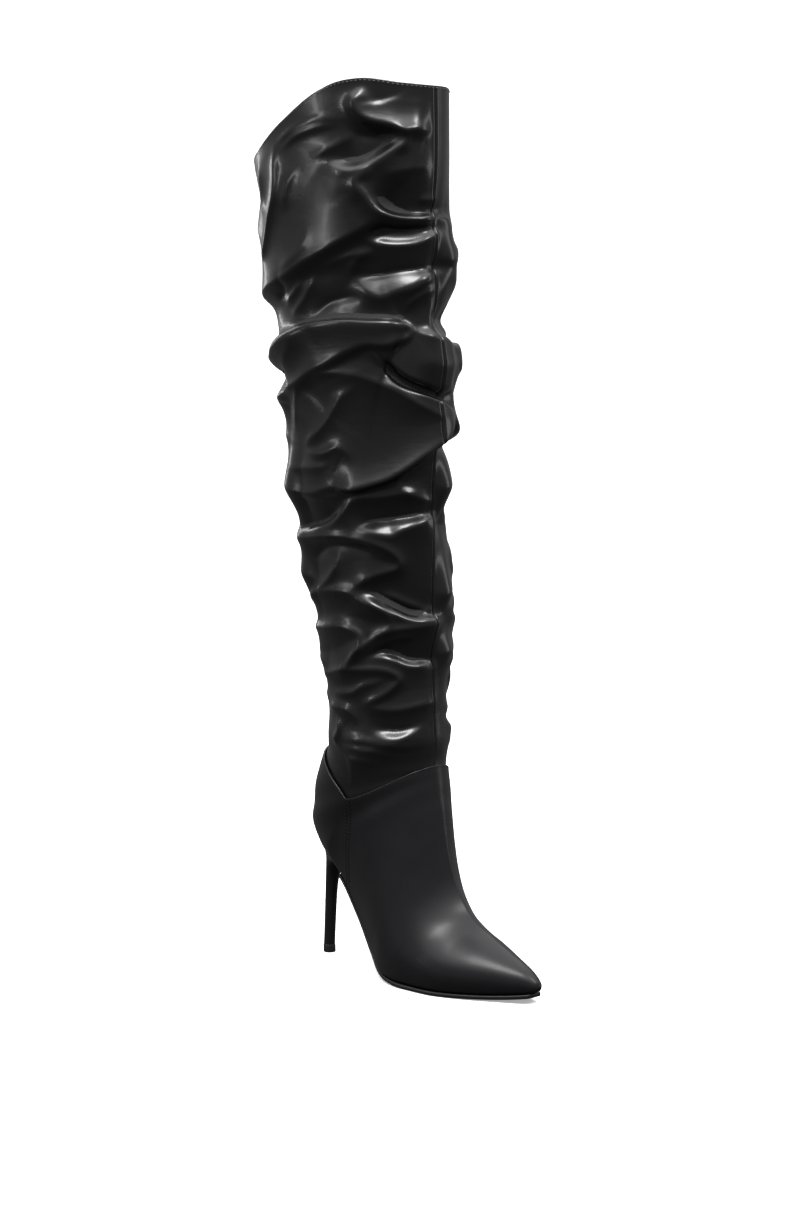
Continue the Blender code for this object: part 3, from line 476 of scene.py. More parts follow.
# Each crest is a line where the leather stands proud, drawn from the back of the
# boot towards its front: its places (degrees round the shaft, height in mm),
# how proud it stands, how wide it falls away above and below the line, how
# round its top is, how far it hangs and, where it is sharp, how far its top is
# pinched, all in mm. A trough is less than 0 proud, and a lip that stands up
# hangs less than 0.
CRESTS = {
    "collar_fold": (
        [(48, 664), (53, 658), (56, 650), (52, 642), (46, 638), (39, 636), (32, 634), (26, 632),
         (17, 632), (4, 632)],
        7.5, 10, 4, 1.6, 0,
    ),
    "collar_hollow": ([(62, 630), (50, 627), (39, 626), (30, 628)], -3, 7, 7, 2, 0),
    "tongue_valley": (
        [(74, 612), (62, 610), (52, 612), (43, 618), (34, 624), (28, 629)],
        -3.5, 9, 5, 0.8, 0,
    ),
    "tongue_crest": (
        [(75, 608), (68, 604), (59, 602), (51, 604), (44, 608), (35, 616), (27, 622), (24, 628)],
        7, 5, 14, 1.6, 0,
    ),
    "tongue_tip": ([(33, 635), (28, 632), (25, 628), (27, 621), (33, 615)], 3.5, 4, 4, 0.8, 0),
    "tongue_neck": ([(44, 604), (50, 600), (54, 594), (54, 588), (52, 581)], 3.5, 4, 4, 0.8, 0),
    "front_shoulder": ([(44, 597), (33, 601), (20, 604), (2, 606)], 3.0, 12, 10, 3, 0),
    "pocket_rim": (
        [(51, 601), (54, 594), (52, 589), (48, 582), (43, 574), (38, 570), (30, 568), (21, 568),
         (10, 568), (-4, 570)],
        7, 3, 8, 0.8, -1,
    ),
    "pocket_floor": (
        [(48, 588), (40, 578), (30, 572), (16, 570), (-4, 572), (-37, 572)],
        -6, 20, 2.2, 0.8, 0,
    ),
    "pocket_streak": ([(18, 581), (8, 581), (-8, 582)], 1.6, 2, 2, 1, 0),
    "thigh_edge": (
        [(200, 508), (165, 509), (137, 518), (110, 528), (92, 539), (78, 548), (65, 557), (56, 563),
         (48, 567), (39, 568)],
        9.5, 30, 5, 1.6, 5,
    ),
    "dark_slot": ([(58, 562), (44, 560), (28, 559), (7, 561), (-16, 564)], -5, 5, 8, 2, 0),
    "slot_rim": (
        [(55, 560), (48, 554), (42, 550), (34, 549), (21, 550), (8, 554), (-3, 558), (-12, 565)],
        4, 2, 14, 1, 0,
    ),
    "second_band": ([(82, 536), (69, 541), (58, 545), (48, 547)], 2, 5, 5, 2, 0),
    "second_rim": ([(48, 546), (56, 542), (60, 536), (62, 530), (60, 526)], 2.5, 3, 8, 1.2, 0),
    "second_valley": (
        [(64, 526), (55, 526), (46, 527), (28, 530), (-1, 532), (-28, 532)],
        -5.5, 14, 5, 0.7, 0,
    ),
    "second_crest": (
        [(63, 524), (56, 517), (46, 511), (37, 514), (25, 520), (14, 526), (0, 530)],
        5, 11, 9, 2, 0,
    ),
    "seam_fold_a": ([(34, 511), (21, 518), (10, 524), (-3, 530)], 2.2, 3, 3, 1, 0),
    "seam_fold_b": ([(30, 500), (23, 508), (12, 514), (-1, 518)], 1.8, 3, 3, 1, 0),
    "gather_a": ([(86, 534), (90, 521), (99, 506), (112, 494)], 2.6, 6, 8, 1.5, 0),
    "gather_b": ([(96, 528), (103, 516), (117, 504)], 2.2, 4, 5, 1.2, 0),
    "gather_valley": ([(112, 533), (114, 520), (127, 508)], -2, 3, 4, 1, 0),
    "shadow_roll": ([(94, 494), (82, 505), (68, 510), (55, 510)], -2.6, 6, 6, 2, 0),
    "back_ridge": (
        [(109, 622), (106, 602), (108, 584), (116, 566), (128, 546), (142, 534)],
        4, 4, 5, 0.8, 0,
    ),
    "back_ridge_b": ([(130, 606), (125, 588), (130, 569)], 2, 4, 5, 1.2, 0),
    "upper_line_a": ([(108, 620), (98, 629), (87, 636), (75, 640), (58, 640)], 1.7, 4, 5, 1.2, 0),
    "upper_line_b": ([(104, 616), (90, 628), (75, 634), (62, 636)], 1.0, 3, 3, 1, 0),
    "upper_line_c": ([(82, 612), (72, 617), (64, 622), (53, 632)], 1.9, 5, 5, 2, 0),
    "streak_c": ([(90, 604), (96, 594), (100, 580), (99, 572)], 1.8, 4, 5, 1.5, 0),
    "streak_d": ([(88, 564), (86, 556), (96, 544), (111, 534)], 2.0, 5, 5, 2, 0),
    "knee_shelf": (
        [(106, 484), (96, 487), (81, 490), (66, 492), (51, 492), (36, 492), (29, 490), (25, 486)],
        11, 1.6, 24, 0.6, -2,
    ),
    "shelf_under": (
        [(205, 430), (168, 432), (145, 436), (124, 442), (106, 450), (94, 458), (80, 465), (69, 472),
         (58, 478), (52, 480), (44, 480), (34, 482), (28, 483), (24, 486)],
        5, 14, 3, 1, 3,
    ),
    "shelf_cross": ([(102, 486), (106, 476), (114, 466), (123, 456)], 2.5, 5, 8, 1, 0),
    "lobe_line": ([(142, 465), (130, 474), (102, 486)], 2, 2, 6, 1, 0),
    "flap_top": ([(24, 488), (14, 484), (-10, 479), (-30, 473)], 7, 3, 25, 1.2, 0),
    "flap_edge": ([(48, 477), (39, 468), (31, 460), (17, 453), (-6, 446), (-30, 448)], 7, 20, 2.5, 0.9, 4),
    "under_flap": ([(51, 472), (44, 462), (32, 452), (16, 446), (-32, 436)], -6, 7, 5, 3, 0),
    "panel_ridge": (
        [(54, 478), (46, 466), (42, 456), (34, 448), (20, 443), (8, 439), (-8, 432), (-33, 417)],
        5.5, 2, 16, 0.9, -1,
    ),
    "panel_shoulder": (
        [(108, 444), (96, 453), (78, 456), (62, 454), (44, 448), (31, 442), (16, 432), (-6, 422),
         (-32, 415)],
        3.5, 7, 10, 1.5, 0,
    ),
    "panel_left": ([(99, 452), (109, 444), (115, 432), (118, 420), (126, 406)], 3, 20, 4, 1, 0),
    "panel_diagonal": ([(60, 446), (72, 438), (79, 428), (92, 412), (112, 398)], 2.2, 5, 5, 1.5, 0),
    "panel_curl": ([(112, 397), (102, 394), (90, 395), (79, 400), (72, 397), (69, 388)], 2.4, 3, 7, 1, 0),
    "panel_curl_low": ([(142, 380), (117, 382), (96, 384), (84, 388)], 1.6, 4, 5, 1, 0),
    "panel_swell": (
        [(205, 372), (172, 372), (142, 366), (110, 364), (86, 370), (68, 373), (53, 378), (42, 382),
         (32, 388), (16, 397), (-5, 408), (-32, 416)],
        4, 34, 4, 1.5, 0,
    ),
    "panel_edge": (
        [(84, 370), (65, 374), (52, 378), (42, 382), (32, 388), (18, 398), (1, 408), (-20, 418)],
        10, 6, 2.5, 0.5, 4, 0.8,
    ),
    "calf_top_line": ([(78, 352), (71, 360), (63, 363), (52, 364), (32, 367), (9, 368)], 3, 4, 8, 1.2, 0),
    "under_panel": ([(26, 382), (33, 376), (32, 370), (18, 364), (-6, 359)], 2.4, 4, 6, 1.0, 0),
    "calf_valley": ([(75, 340), (61, 345), (41, 348), (16, 351), (-13, 352)], -6, 16, 4, 0.7, 0),
    "calf_crest": (
        [(74, 338), (58, 338), (42, 336), (34, 340), (22, 344), (8, 348), (-8, 352)],
        5, 8, 12, 1.5, 0,
    ),
    "calf_lobe_line": (
        [(200, 330), (165, 332), (136, 331), (98, 340), (82, 349), (74, 358), (69, 366)],
        3, 4, 10, 1.2, 0,
    ),
    "calf_lobe_dark": ([(142, 334), (104, 343), (88, 352), (80, 360)], -4, 7, 4, 1.5, 0),
    "calf_upper_line": ([(138, 363), (103, 361), (84, 363), (72, 369)], 2.0, 4, 6, 1, 0),
    "tongue_line": (
        [(195, 322), (160, 324), (142, 326), (98, 332), (72, 332), (54, 329), (42, 324), (36, 318),
         (36, 313), (42, 310), (56, 306), (69, 300), (76, 295), (74, 290)],
        3.5, 4, 6, 1.2, 0,
    ),
    "tongue_dark": ([(120, 312), (105, 323), (86, 328), (68, 326), (47, 321)], -3, 4, 5, 1.5, 0),
    "tongue_inner_line": ([(91, 322), (90, 314), (102, 300), (128, 286), (141, 274)], 2.5, 4, 5, 1, 0),
    "shin_pocket": (
        [(72, 294), (61, 290), (50, 286), (39, 282), (25, 278), (-6, 277)],
        -4.5, 14, 1.6, 0.7, 0,
    ),
    "shin_pocket_line": ([(60, 294), (43, 290), (25, 284), (3, 279)], 1.8, 3, 3, 1, 0),
    "shin_crease": (
        [(74, 295), (66, 290), (52, 284), (41, 279), (26, 274), (10, 273), (-16, 272)],
        5.5, 2.2, 10, 0.6, 0,
    ),
    "seam_knot": ([(18, 276), (8, 278), (0, 282)], 2.0, 2, 2, 0.8, 0),
    "shin_tongue": (
        [(142, 280), (108, 290), (84, 292), (69, 286), (56, 282), (46, 276), (45, 268), (54, 264),
         (69, 264)],
        3, 4, 6, 1, 0,
    ),
    "low_fold": ([(90, 238), (74, 250), (58, 260), (42, 266), (18, 268), (-12, 268)], 3.5, 3, 6, 1, 0),
    "low_fold_b": ([(73, 246), (58, 254), (39, 260), (15, 262)], 1.6, 3, 4, 1, 0),
    "low_pocket": ([(72, 244), (56, 248), (42, 246), (26, 242), (-9, 242)], -4.5, 12, 1.6, 0.7, 0),
    "low_roll": ([(68, 244), (54, 246), (42, 244), (26, 240), (-1, 240)], 3.2, 1.8, 6, 0.8, 0),
    "low_lobe": (
        [(190, 262), (150, 260), (120, 262), (96, 266), (80, 264), (73, 259), (76, 250), (86, 239),
         (105, 230), (140, 224)],
        4, 4, 12, 1.2, 0,
    ),
    "low_tongue": (
        [(110, 230), (82, 234), (60, 236), (46, 234), (39, 229), (46, 222), (61, 214), (78, 208)],
        3, 3, 5, 1, 0,
    ),
    "low_tongue_inner": ([(118, 214), (90, 216), (72, 223), (46, 230)], 1.8, 4, 4, 1, 0),
    "gaiter_lobe": ([(130, 202), (98, 204), (86, 200), (82, 192)], 3, 4, 6, 1, 0),
    "gaiter_upright": ([(108, 200), (103, 187), (118, 172)], 2.5, 4, 5, 1, 0),
    "gaiter_roll": ([(77, 207), (44, 206), (14, 210), (-8, 212)], 2.5, 5, 6, 2, 0),
    "gaiter_valley": ([(70, 192), (41, 190), (10, 196)], -4, 10, 4, 0.7, 0),
    "gaiter_bright": ([(70, 188), (52, 185), (40, 185), (26, 190), (9, 196)], 3.5, 6, 8, 1.5, 0),
    "gaiter_crease_a": ([(102, 181), (70, 182), (36, 178), (12, 180)], 1.7, 3, 5, 1, 0),
    "gaiter_crease_b": ([(100, 175), (67, 174), (40, 170), (15, 172)], 1.4, 3, 4, 1, 0),
    "gaiter_crease_c": ([(97, 167), (72, 165), (48, 162)], 1.2, 3, 4, 1, 0),
    "shelf_hook": (
        [(56, 480), (44, 480), (34, 482), (27, 483), (24, 486), (26, 490), (32, 491), (40, 492)],
        2.0, 1.2, 1.4, 0.6, 0,
    ),
    "shelf_lobe": (
        [(215, 459), (168, 459), (142, 462), (128, 470), (107, 480), (92, 487)], 17.0, 5, 12, 1.5, -1
    ),
    "lobe_notch": ([(210, 446), (168, 447), (140, 450), (120, 455)], -11.0, 6, 9, 2, 0),
    "thigh_back_hollow": ([(220, 578), (175, 578), (145, 582), (122, 588)], -5.0, 18, 18, 6, 0),
    "knee_back_lobe": ([(215, 432), (172, 432), (146, 430), (128, 426)], 6.5, 9, 13, 3, 0),
    "back_roll_thigh": ([(222, 560), (190, 566), (158, 560), (136, 552)], 3.0, 14, 14, 5, 0),
    "back_roll_calf": ([(218, 365), (180, 365), (148, 364), (118, 362)], 15.0, 15, 13, 5, 0),
    "back_roll_knee": ([(222, 400), (190, 404), (160, 404), (134, 402)], 3.0, 8, 9, 3, 0),
    "back_roll_shin": ([(215, 303), (180, 303), (146, 301), (118, 298)], 12.0, 16, 15, 5, 0),
    "back_roll_ankle": ([(210, 238), (172, 240), (142, 238), (116, 234)], 4.5, 12, 10, 3, 0),
    "back_roll_low": ([(218, 276), (190, 280), (164, 278), (140, 274)], 2.5, 7, 8, 2, 0),
    "front_notch": ([(8, 496), (-16, 493), (-52, 493), (-84, 496)], -9.5, 9, 10, 3, 0),
    "flap_nose": ([(24, 468), (4, 464), (-22, 463), (-55, 466), (-80, 470)], 7.0, 11, 10, 4, 0),
    "thigh_nose": ([(-2, 540), (-24, 537), (-58, 540), (-84, 544)], 9.0, 16, 14, 6, 0),
    "front_hollow": ([(2, 402), (-24, 399), (-58, 401), (-88, 404)], -5.0, 7, 7, 3, 0),
    "calf_nose": ([(0, 372), (-22, 370), (-52, 372), (-82, 376)], 7.0, 17, 12, 5, 0),
    "calf_hollow": ([(2, 344), (-24, 342), (-56, 344), (-84, 347)], -6.0, 11, 10, 4, 0),
    "shin_nose": ([(2, 294), (-20, 291), (-50, 294), (-80, 298)], 8.0, 18, 10, 5, 0),
    "low_nose": ([(0, 248), (-20, 247), (-50, 250), (-80, 254)], 7.0, 12, 10, 4, 0),
    "back_roll_gaiter": ([(214, 214), (186, 216), (160, 210), (136, 206)], 3.0, 7, 8, 2, 0),
}
# The inner side wasn't seen: its folds repeat the outer side's main ones, each
# a little lower or higher, so that they meet at the front and back seams.
INNER_FOLDS = {
    "thigh_edge": -4, "slot_rim": -4,
    "second_valley": 4, "second_crest": 4, "knee_shelf": -20, "shelf_under": 6, "flap_edge": -6,
    "under_flap": -6,
    "panel_ridge": 4, "panel_shoulder": 4, "panel_swell": 30, "panel_edge": 30, "panel_curl": 6,
    "calf_valley": 5, "calf_crest": 5, "calf_lobe_line": -4, "tongue_line": -5, "tongue_dark": -5,
    "shin_pocket": 4, "shin_crease": 6, "shin_tongue": -4, "low_fold": 4, "low_roll": -3, "low_lobe": 5,
    "low_tongue": -4, "gaiter_lobe": 3, "gaiter_roll": -4, "gaiter_valley": 4, "gaiter_bright": 4,
    "gaiter_crease_a": -3, "back_ridge": 0, "streak_d": 4, "upper_line_a": -3, "gather_a": 3,
}


PINCH = 0.5
PINCH_WIDTH = 1.9
ARC_MM_PER_DEG = (0.80, 1.18)
CREST_STEPS = 6
CREST_REACH = 5
TAPER_MM = 22.0
TAPER_SHARE = 0.42
TAPER_START = 0.12
HANG_SPREAD = 0.55
HANG_SPREAD_MM = 2.0
SOFTENING_PASSES = 3


def shaft_form(angle, z):
    """A point on the shaft's plain oval form, and its outward direction."""
    rise = np.clip((z - INSTEP_HEIGHT) / (SHAFT_HEIGHT - INSTEP_HEIGHT), 0, 1)
    table = np.array(SHAFT_SECTIONS)
    values = catmull_rom(table, np.interp(rise, table[:, 0], np.arange(len(table))))
    row = {name: values[..., i] for i, name in enumerate(SHAFT_COLUMNS)}
    depth = row["depth"] * COLLAR_DEPTH / 2
    width = row["width"] * COLLAR_WIDTH / 2
    turn = np.radians(angle)
    point = np.stack([row["front"] * TOE_REACH - depth + depth * np.cos(turn), -width * np.sin(turn), z], -1)
    outward = np.stack([np.cos(turn) * width, -np.sin(turn) * depth, np.zeros_like(z)], -1)
    return point, outward / np.linalg.norm(outward, axis=-1, keepdims=True)


def collar_height(angle):
    """Height of the shaft's top edge, scooped at the back."""
    places = np.array(COLLAR_PLACES)
    row_at = np.interp(np.asarray(angle, float) % 360, places[:, 0], np.arange(len(places)))
    return catmull_rom(places, row_at)[..., 1] * SHAFT_HEIGHT


def crest_shift(angle, z, places, proud, above, below, top, hang, pinch=PINCH):
    """How far one crest pushes the leather out and down."""
    places = np.array(places, float)
    steps = catmull_rom(places, np.linspace(0, len(places) - 1, CREST_STEPS * len(places)))
    middle = steps[:, 0].mean()
    arc = np.interp(steps[:, 1].mean() * MM, (INSTEP_HEIGHT, SHAFT_HEIGHT), ARC_MM_PER_DEG)
    u = (((angle - middle + 180) % 360) - 180) * arc
    v = z / MM
    line = np.stack([(steps[:, 0] - middle) * arc, steps[:, 1]], -1)
    lengths = np.linalg.norm(np.diff(line, axis=0), axis=1)
    run = np.concatenate([[0], np.cumsum(lengths)])
    reach = CREST_REACH * max(above, below)
    near = (u > line[:, 0].min() - reach) & (u < line[:, 0].max() + reach)
    near &= (v > line[:, 1].min() - reach) & (v < line[:, 1].max() + reach)
    u, v = u[near], v[near]
    best = np.full(u.shape, 1e9)
    side = np.zeros_like(best)
    along = np.zeros_like(best)
    for k in range(len(line) - 1):
        start, end = line[k], line[k + 1]
        step = end - start
        t = np.clip(((u - start[0]) * step[0] + (v - start[1]) * step[1]) / (step @ step), 0, 1)
        du = u - start[0] - t * step[0]
        dv = v - start[1] - t * step[1]
        distance = np.hypot(du, dv)
        closer = distance < best
        best = np.where(closer, distance, best)
        side = np.where(closer, du * step[1] - dv * step[0], side)
        along = np.where(closer, run[k] + t * lengths[k], along)
    taper_length = min(TAPER_MM, TAPER_SHARE * run[-1])
    taper = smooth_step(TAPER_START + along / taper_length)
    taper = taper * smooth_step(TAPER_START + (run[-1] - along) / taper_length)
    width = np.where(side > 0, above, below)
    fall = np.exp(-(np.sqrt(best**2 + top**2) - top) / width)
    pinched = math.copysign(pinch, proud) * np.exp(-((best / PINCH_WIDTH) ** 2))
    out = np.zeros(angle.shape)
    drop = np.zeros(angle.shape)
    out[near] = taper * (proud * fall + pinched)
    drop[near] = hang * taper * np.exp(-((best / (HANG_SPREAD * above + HANG_SPREAD_MM)) ** 2))
    return out * MM, drop * MM


ALMOST_OVER = 0.999
ANKLE_PLACES = 400
ANKLE_STEPS = 200
ANKLE_EXTRA_SECTIONS = 2


def ankle_walls(angles, z, inset):
    """The shaft's lowest stretch, which follows the inside of the foot upper."""
    half = np.linspace(0, ALMOST_OVER, ANKLE_PLACES)
    places = np.concatenate([-half[::-1], half[1:]])
    tops = last_point(topline_section(places), places)
    found = angle_round(tops) % 360
    order = np.argsort(found)
    wanted = np.interp(angles, found[order], places[order])
    first = FIRST_TOPLINE_SECTION - ANKLE_EXTRA_SECTIONS
    rows = np.linspace(first, len(LAST_SECTIONS) - 1.0, ANKLE_STEPS)
    walls = np.empty(z.shape + (3,))
    for j, place in enumerate(wanted):
        line = last_point(rows, np.full_like(rows, place), inset)
        walls[:, j, 0] = np.interp(z[:, j], line[:, 2], line[:, 0])
        walls[:, j, 1] = np.interp(z[:, j], line[:, 2], line[:, 1])
    walls[..., 2] = z
    return walls


def softened(heights):
    """The heights averaged with their neighbours, as thick leather rounds a sharp corner."""
    for _ in range(SOFTENING_PASSES):
        heights[1:-1] = (heights[:-2] + 2 * heights[1:-1] + heights[2:]) / 4
        heights[:, 1:-1] = (heights[:, :-2] + 2 * heights[:, 1:-1] + heights[:, 2:]) / 4
    return heights


def shaft_rings(rows, angles, inset):
    """Rings of the folded shaft's surface, from inside the topline up to the collar."""
    start_z = topline(angles) - SHAFT_TUCK
    top_z = collar_height(angles)
    z = start_z + (top_z - start_z) * np.linspace(0, 1, rows)[:, None]
    angle = np.broadcast_to(angles, z.shape)
    point, outward = shaft_form(angle, z)
    out = np.zeros(z.shape)
    drop = np.zeros(z.shape)
    for name, crest in CRESTS.items():
        shift, hang = crest_shift(angle, z, *crest)
        out += shift
        drop += hang
        if name in INNER_FOLDS:
            places = [(deg, height + INNER_FOLDS[name]) for deg, height in crest[0]]
            shift, hang = crest_shift(-angle, z, places, *crest[1:])
            out += shift * inner_side(angle)
            drop += hang * inner_side(angle)
    out = softened(out)
    around = np.linspace(-TOPLINE_CLEAR_DEG, TOPLINE_CLEAR_DEG, TOPLINE_CLEAR_STEPS)
    free_z = np.max([topline(angles + step) for step in around], axis=0)
    settled = smooth_step((z - free_z) / SETTLE_HEIGHT)
    calm = smooth_step((top_z - z) / COLLAR_CALM)
    out = DEEPEST_FOLD * np.tanh(out / DEEPEST_FOLD)
    out = out * settled * (COLLAR_FOLD_SHARE + (1 - COLLAR_FOLD_SHARE) * calm)
    for seam in SEAMS_DEG:
        away = np.abs((angle - seam + 180) % 360 - 180) * SEAM_ARC
        welt = WELT_HEIGHT * np.exp(-(((away - WELT_AWAY) / WELT_SPREAD) ** 2))
        out += (welt - SEAM_DEPTH * np.exp(-((away / SEAM_SPREAD) ** 2))) * settled
    moved = point + outward * (out - inset)[..., None]
    moved[..., 2] -= drop * settled * calm
    walls = ankle_walls(angles, z, UPPER_WALL + SHAFT_GAP + inset)
    return walls * (1 - settled[..., None]) + moved * settled[..., None]


def inner_side(angle):
    """1 on the inner side, fading to 0 at the front and back seams."""
    turn = angle % 360
    first, last = INNER_SIDE_DEG
    return smooth_step((turn - first) / INNER_FADE_DEG) * smooth_step((last - turn) / INNER_FADE_DEG)


INNER_SIDE_DEG = (196, 344)
INNER_FADE_DEG = 24
SEAMS_DEG = (0.0, 180.0)
SEAM_ARC = 1.1
SEAM_DEPTH = 1.6 * MM
SEAM_SPREAD = 0.8
WELT_HEIGHT = 0.25 * MM
WELT_AWAY = 2.6
WELT_SPREAD = 1.6

# Each panel's first and last angle, and its columns and rows of points.
PANELS = {"outer": (0.0, 180.0, 200, 484), "inner": (180.0, 360.0, 160, 320)}

# Soft leather with a glossy polyurethane coat: a near-black wet look over a
# fine pebble grain, with short shallow wrinkles where it has been gathered.
PEBBLE_MM = 0.8
WRINKLES_PER_METRE = 55.0
WRINKLE_SQUASH = 2.6

shaft_leather, shader = new_material("glossy_coated_leather")
place = add(shaft_leather, "ShaderNodeTexCoord").outputs["Object"]
grain = add(
    shaft_leather, "ShaderNodeTexVoronoi", {"Vector": place, "Scale": 1000 / PEBBLE_MM}, feature="SMOOTH_F1"
)
squash = add(shaft_leather, "ShaderNodeMapping", {"Vector": place, "Scale": (1.0, 1.0, WRINKLE_SQUASH)})
wrinkle = add(
    shaft_leather,
    "ShaderNodeTexNoise",
    {"Vector": squash.outputs["Vector"], "Scale": WRINKLES_PER_METRE, "Detail": 4.0},
).outputs["Fac"]
gloss = add(shaft_leather, "ShaderNodeMapRange", {"Value": wrinkle, "To Min": 0.25, "To Max": 0.33})
relief = {}
for height, strength, distance in ((grain.outputs["Distance"], 0.06, 0.1 * MM), (wrinkle, 0.12, 1.6 * MM)):
    layer = {"Height": height, "Strength": strength, "Distance": distance}
    bump = add(shaft_leather, "ShaderNodeBump", {**layer, **relief})
    relief = {"Normal": bump.outputs["Normal"]}
plug(
    shaft_leather,
    shader,
    {
        "Base Color": linear("#0b0b0c"),
        "Roughness": gloss.outputs["Result"],
        "IOR": 1.5,
        "Coat Weight": 0.2,
        "Coat Roughness": 0.14,
        **relief,
    },
)

panel_rings = {}
for side, (first_deg, last_deg, columns, rows) in PANELS.items():
    angles = np.linspace(first_deg, last_deg, columns)
    rings = shaft_rings(rows, angles, 0.0)
    panel_rings[side] = (angles, rings)
    lining_top = shaft_rings(rows, angles, SHAFT_WALL)[-1]
    rim = turned_edge(rings[-1], lining_top, SHAFT_WALL)
    panel = surface(f"shaft_{side}_panel", np.concatenate([rings, rim]), closed=False)
    finish_piece(panel, shaft_leather, "shaft_leather", *(["shaft"] if side == "outer" else []))


# Shaft lining
# A thin black knitted lining, bonded to the leather's back before the panels
# are sewn. It is seen inside the collar.
LINING_ROWS = 160
LINING_COLUMNS = 128
KNIT_PER_METRE = 420.0

# Matt polyester knit: rows of loops, drawn coarser than real so that they show.
lining_material, shader = new_material("knitted_lining")
place = add(lining_material, "ShaderNodeTexCoord").outputs["Object"]
knit = add(
    lining_material,
    "ShaderNodeTexWave",
    {"Vector": place, "Scale": KNIT_PER_METRE, "Distortion": 1.5},
    bands_direction="Z",
)
weave = add(
    lining_material, "ShaderNodeBump", {"Height": knit.outputs["Fac"], "Strength": 0.35, "Distance": 0.3 * MM}
)
lining_look = {"Base Color": linear("#1a1a1c"), "Roughness": 0.8, "Normal": weave.outputs["Normal"]}
plug(lining_material, shader, lining_look)
lining_angles = np.arange(LINING_COLUMNS) * 360 / LINING_COLUMNS
lining_rings = shaft_rings(LINING_ROWS, lining_angles, SHAFT_WALL)[:, ::-1]
lining = surface("shaft_lining", lining_rings)
finish_piece(lining, lining_material, "shaft_leather")


# Outsole
# A thin black leather-board sole with a waxed edge, cemented under the upper
# from the heel breast to the toe and trimmed close along the waist.
SHANK_SOLE_THICKNESS = 2.2 * MM
SOLE_EXTENSION = 0.8 * MM
WAIST_TRIM = 1.5 * MM
SOLE_TOE_SETBACK = 5.5 * MM
SOLE_WIDENS = (0.40, 0.54)
SOLE_THICKENS = (0.30, 0.45)
HEEL_BREAST = 33.0 * MM
SLOPE_REACH = 2.0 * MM
UNDERSIDE_START = 0.5
UNDERSIDE_STEPS = 400
PLATE_COLUMNS = 25
PLATE_EDGE_STEPS = 9
PLATE_EDGE_ROUND = 0.45
SOLE_STATIONS = 140


def under_foot():
    """The last's sections along the underside, from the toe to the heel's end."""
    return last_row(np.linspace(UNDERSIDE_START, list(LAST_SECTIONS).index("heel_end"), UNDERSIDE_STEPS))


def underside(x):
    """Height of the upper's underside at x."""
    row = under_foot()
    return np.interp(x, row["under_x"][::-1], row["under_z"][::-1])


def beyond_underside(x, distance):
    """Height at x of a surface square to the underside and a distance above it."""
    slope = (underside(x + SLOPE_REACH) - underside(x - SLOPE_REACH)) / (2 * SLOPE_REACH)
    return underside(x) + distance * np.sqrt(1 + slope**2)


def foot_half_width(x, side, inset=0.0, flat_only=False):
    """Half width of the upper's bottom at x, on one side (outer or inner)."""
    row = under_foot()
    width = (row[side] - inset) * row["foot"]
    if flat_only:
        width = width * (1 - row["edge_w"])
    return np.interp(x, row["under_x"][::-1], width[::-1])


def sole_half_width(x, side):
    """Proud of the upper at the tread, trimmed close along the waist."""
    first, last = SOLE_WIDENS
    share = smooth_step((x / TOE_REACH - first) / (last - first))
    return foot_half_width(x, side) + share * SOLE_EXTENSION - (1 - share) * WAIST_TRIM


def plate(name, stations, half_width, under, over):
    """A closed plate that follows the foot's bottom, with a rounded edge."""
    across = np.linspace(-1, 1, PLATE_COLUMNS)
    rounds = np.linspace(-math.pi / 2, math.pi / 2, PLATE_EDGE_STEPS)[1:-1]
    rings = []
    for x in stations:
        outer, inner = half_width(x, "outer"), half_width(x, "inner")
        low, high = beyond_underside(x, under(x)), beyond_underside(x, over(x))
        middle, half = (low + high) / 2, (high - low) / 2
        y = np.where(across < 0, across * outer, across * inner)
        out = half * PLATE_EDGE_ROUND * np.cos(rounds)
        up = middle + half * np.sin(rounds)
        ring_y = np.concatenate([y, inner + out, y[::-1], -outer - out])
        ring_z = np.concatenate([np.full_like(y, low), up, np.full_like(y, high), up[::-1]])
        rings.append(np.stack([np.full_like(ring_y, x), ring_y, ring_z], -1))
    rings = np.array(rings)
    ends = [np.repeat(ring.mean(axis=0, keepdims=True), len(ring), axis=0) for ring in rings[[0, -1]]]
    return surface(name, np.concatenate([ends[:1], rings, ends[1:]]))


def sole_thickness(x):
    """Full at the tread, thinner along the waist."""
    first, last = SOLE_THICKENS
    share = smooth_step((x / TOE_REACH - first) / (last - first))
    return SHANK_SOLE_THICKNESS + (SOLE_THICKNESS - SHANK_SOLE_THICKNESS) * share


# Pressed fibre board, stained black and waxed: a satin edge with fine pits.
FIBRES_PER_METRE = 400.0
sole_material, shader = new_material("waxed_sole_edge")
place = add(sole_material, "ShaderNodeTexCoord").outputs["Object"]
fibre = add(
    sole_material, "ShaderNodeTexNoise", {"Vector": place, "Scale": FIBRES_PER_METRE, "Detail": 4.0}
).outputs["Fac"]
scuff = add(sole_material, "ShaderNodeMapRange", {"Value": fibre, "To Min": 0.34, "To Max": 0.5})
pits = add(sole_material, "ShaderNodeBump", {"Height": fibre, "Strength": 0.12, "Distance": 0.3 * MM})
plug(
    sole_material,
    shader,
    {"Base Color": linear("#141415"), "Roughness": scuff.outputs["Result"], "Normal": pits.outputs["Normal"]},
)
sole_stations = np.linspace(HEEL_BREAST + GAP, TOE_REACH - SOLE_TOE_SETBACK, SOLE_STATIONS)
outsole = plate(
    "outsole_board", sole_stations, sole_half_width, lambda x: -GAP - sole_thickness(x), lambda x: -GAP
)
finish_piece(outsole, sole_material, "outsole", "outsole")


# Insole
# The insole board is covered with a soft lining and lies on the lasted margin,
# held down with adhesive.
INSOLE_GAP = 0.6 * MM
INSOLE_THICKNESS = 2.0 * MM
INSOLE_REACH = (0.06, 0.91)
INSOLE_STATIONS = 90

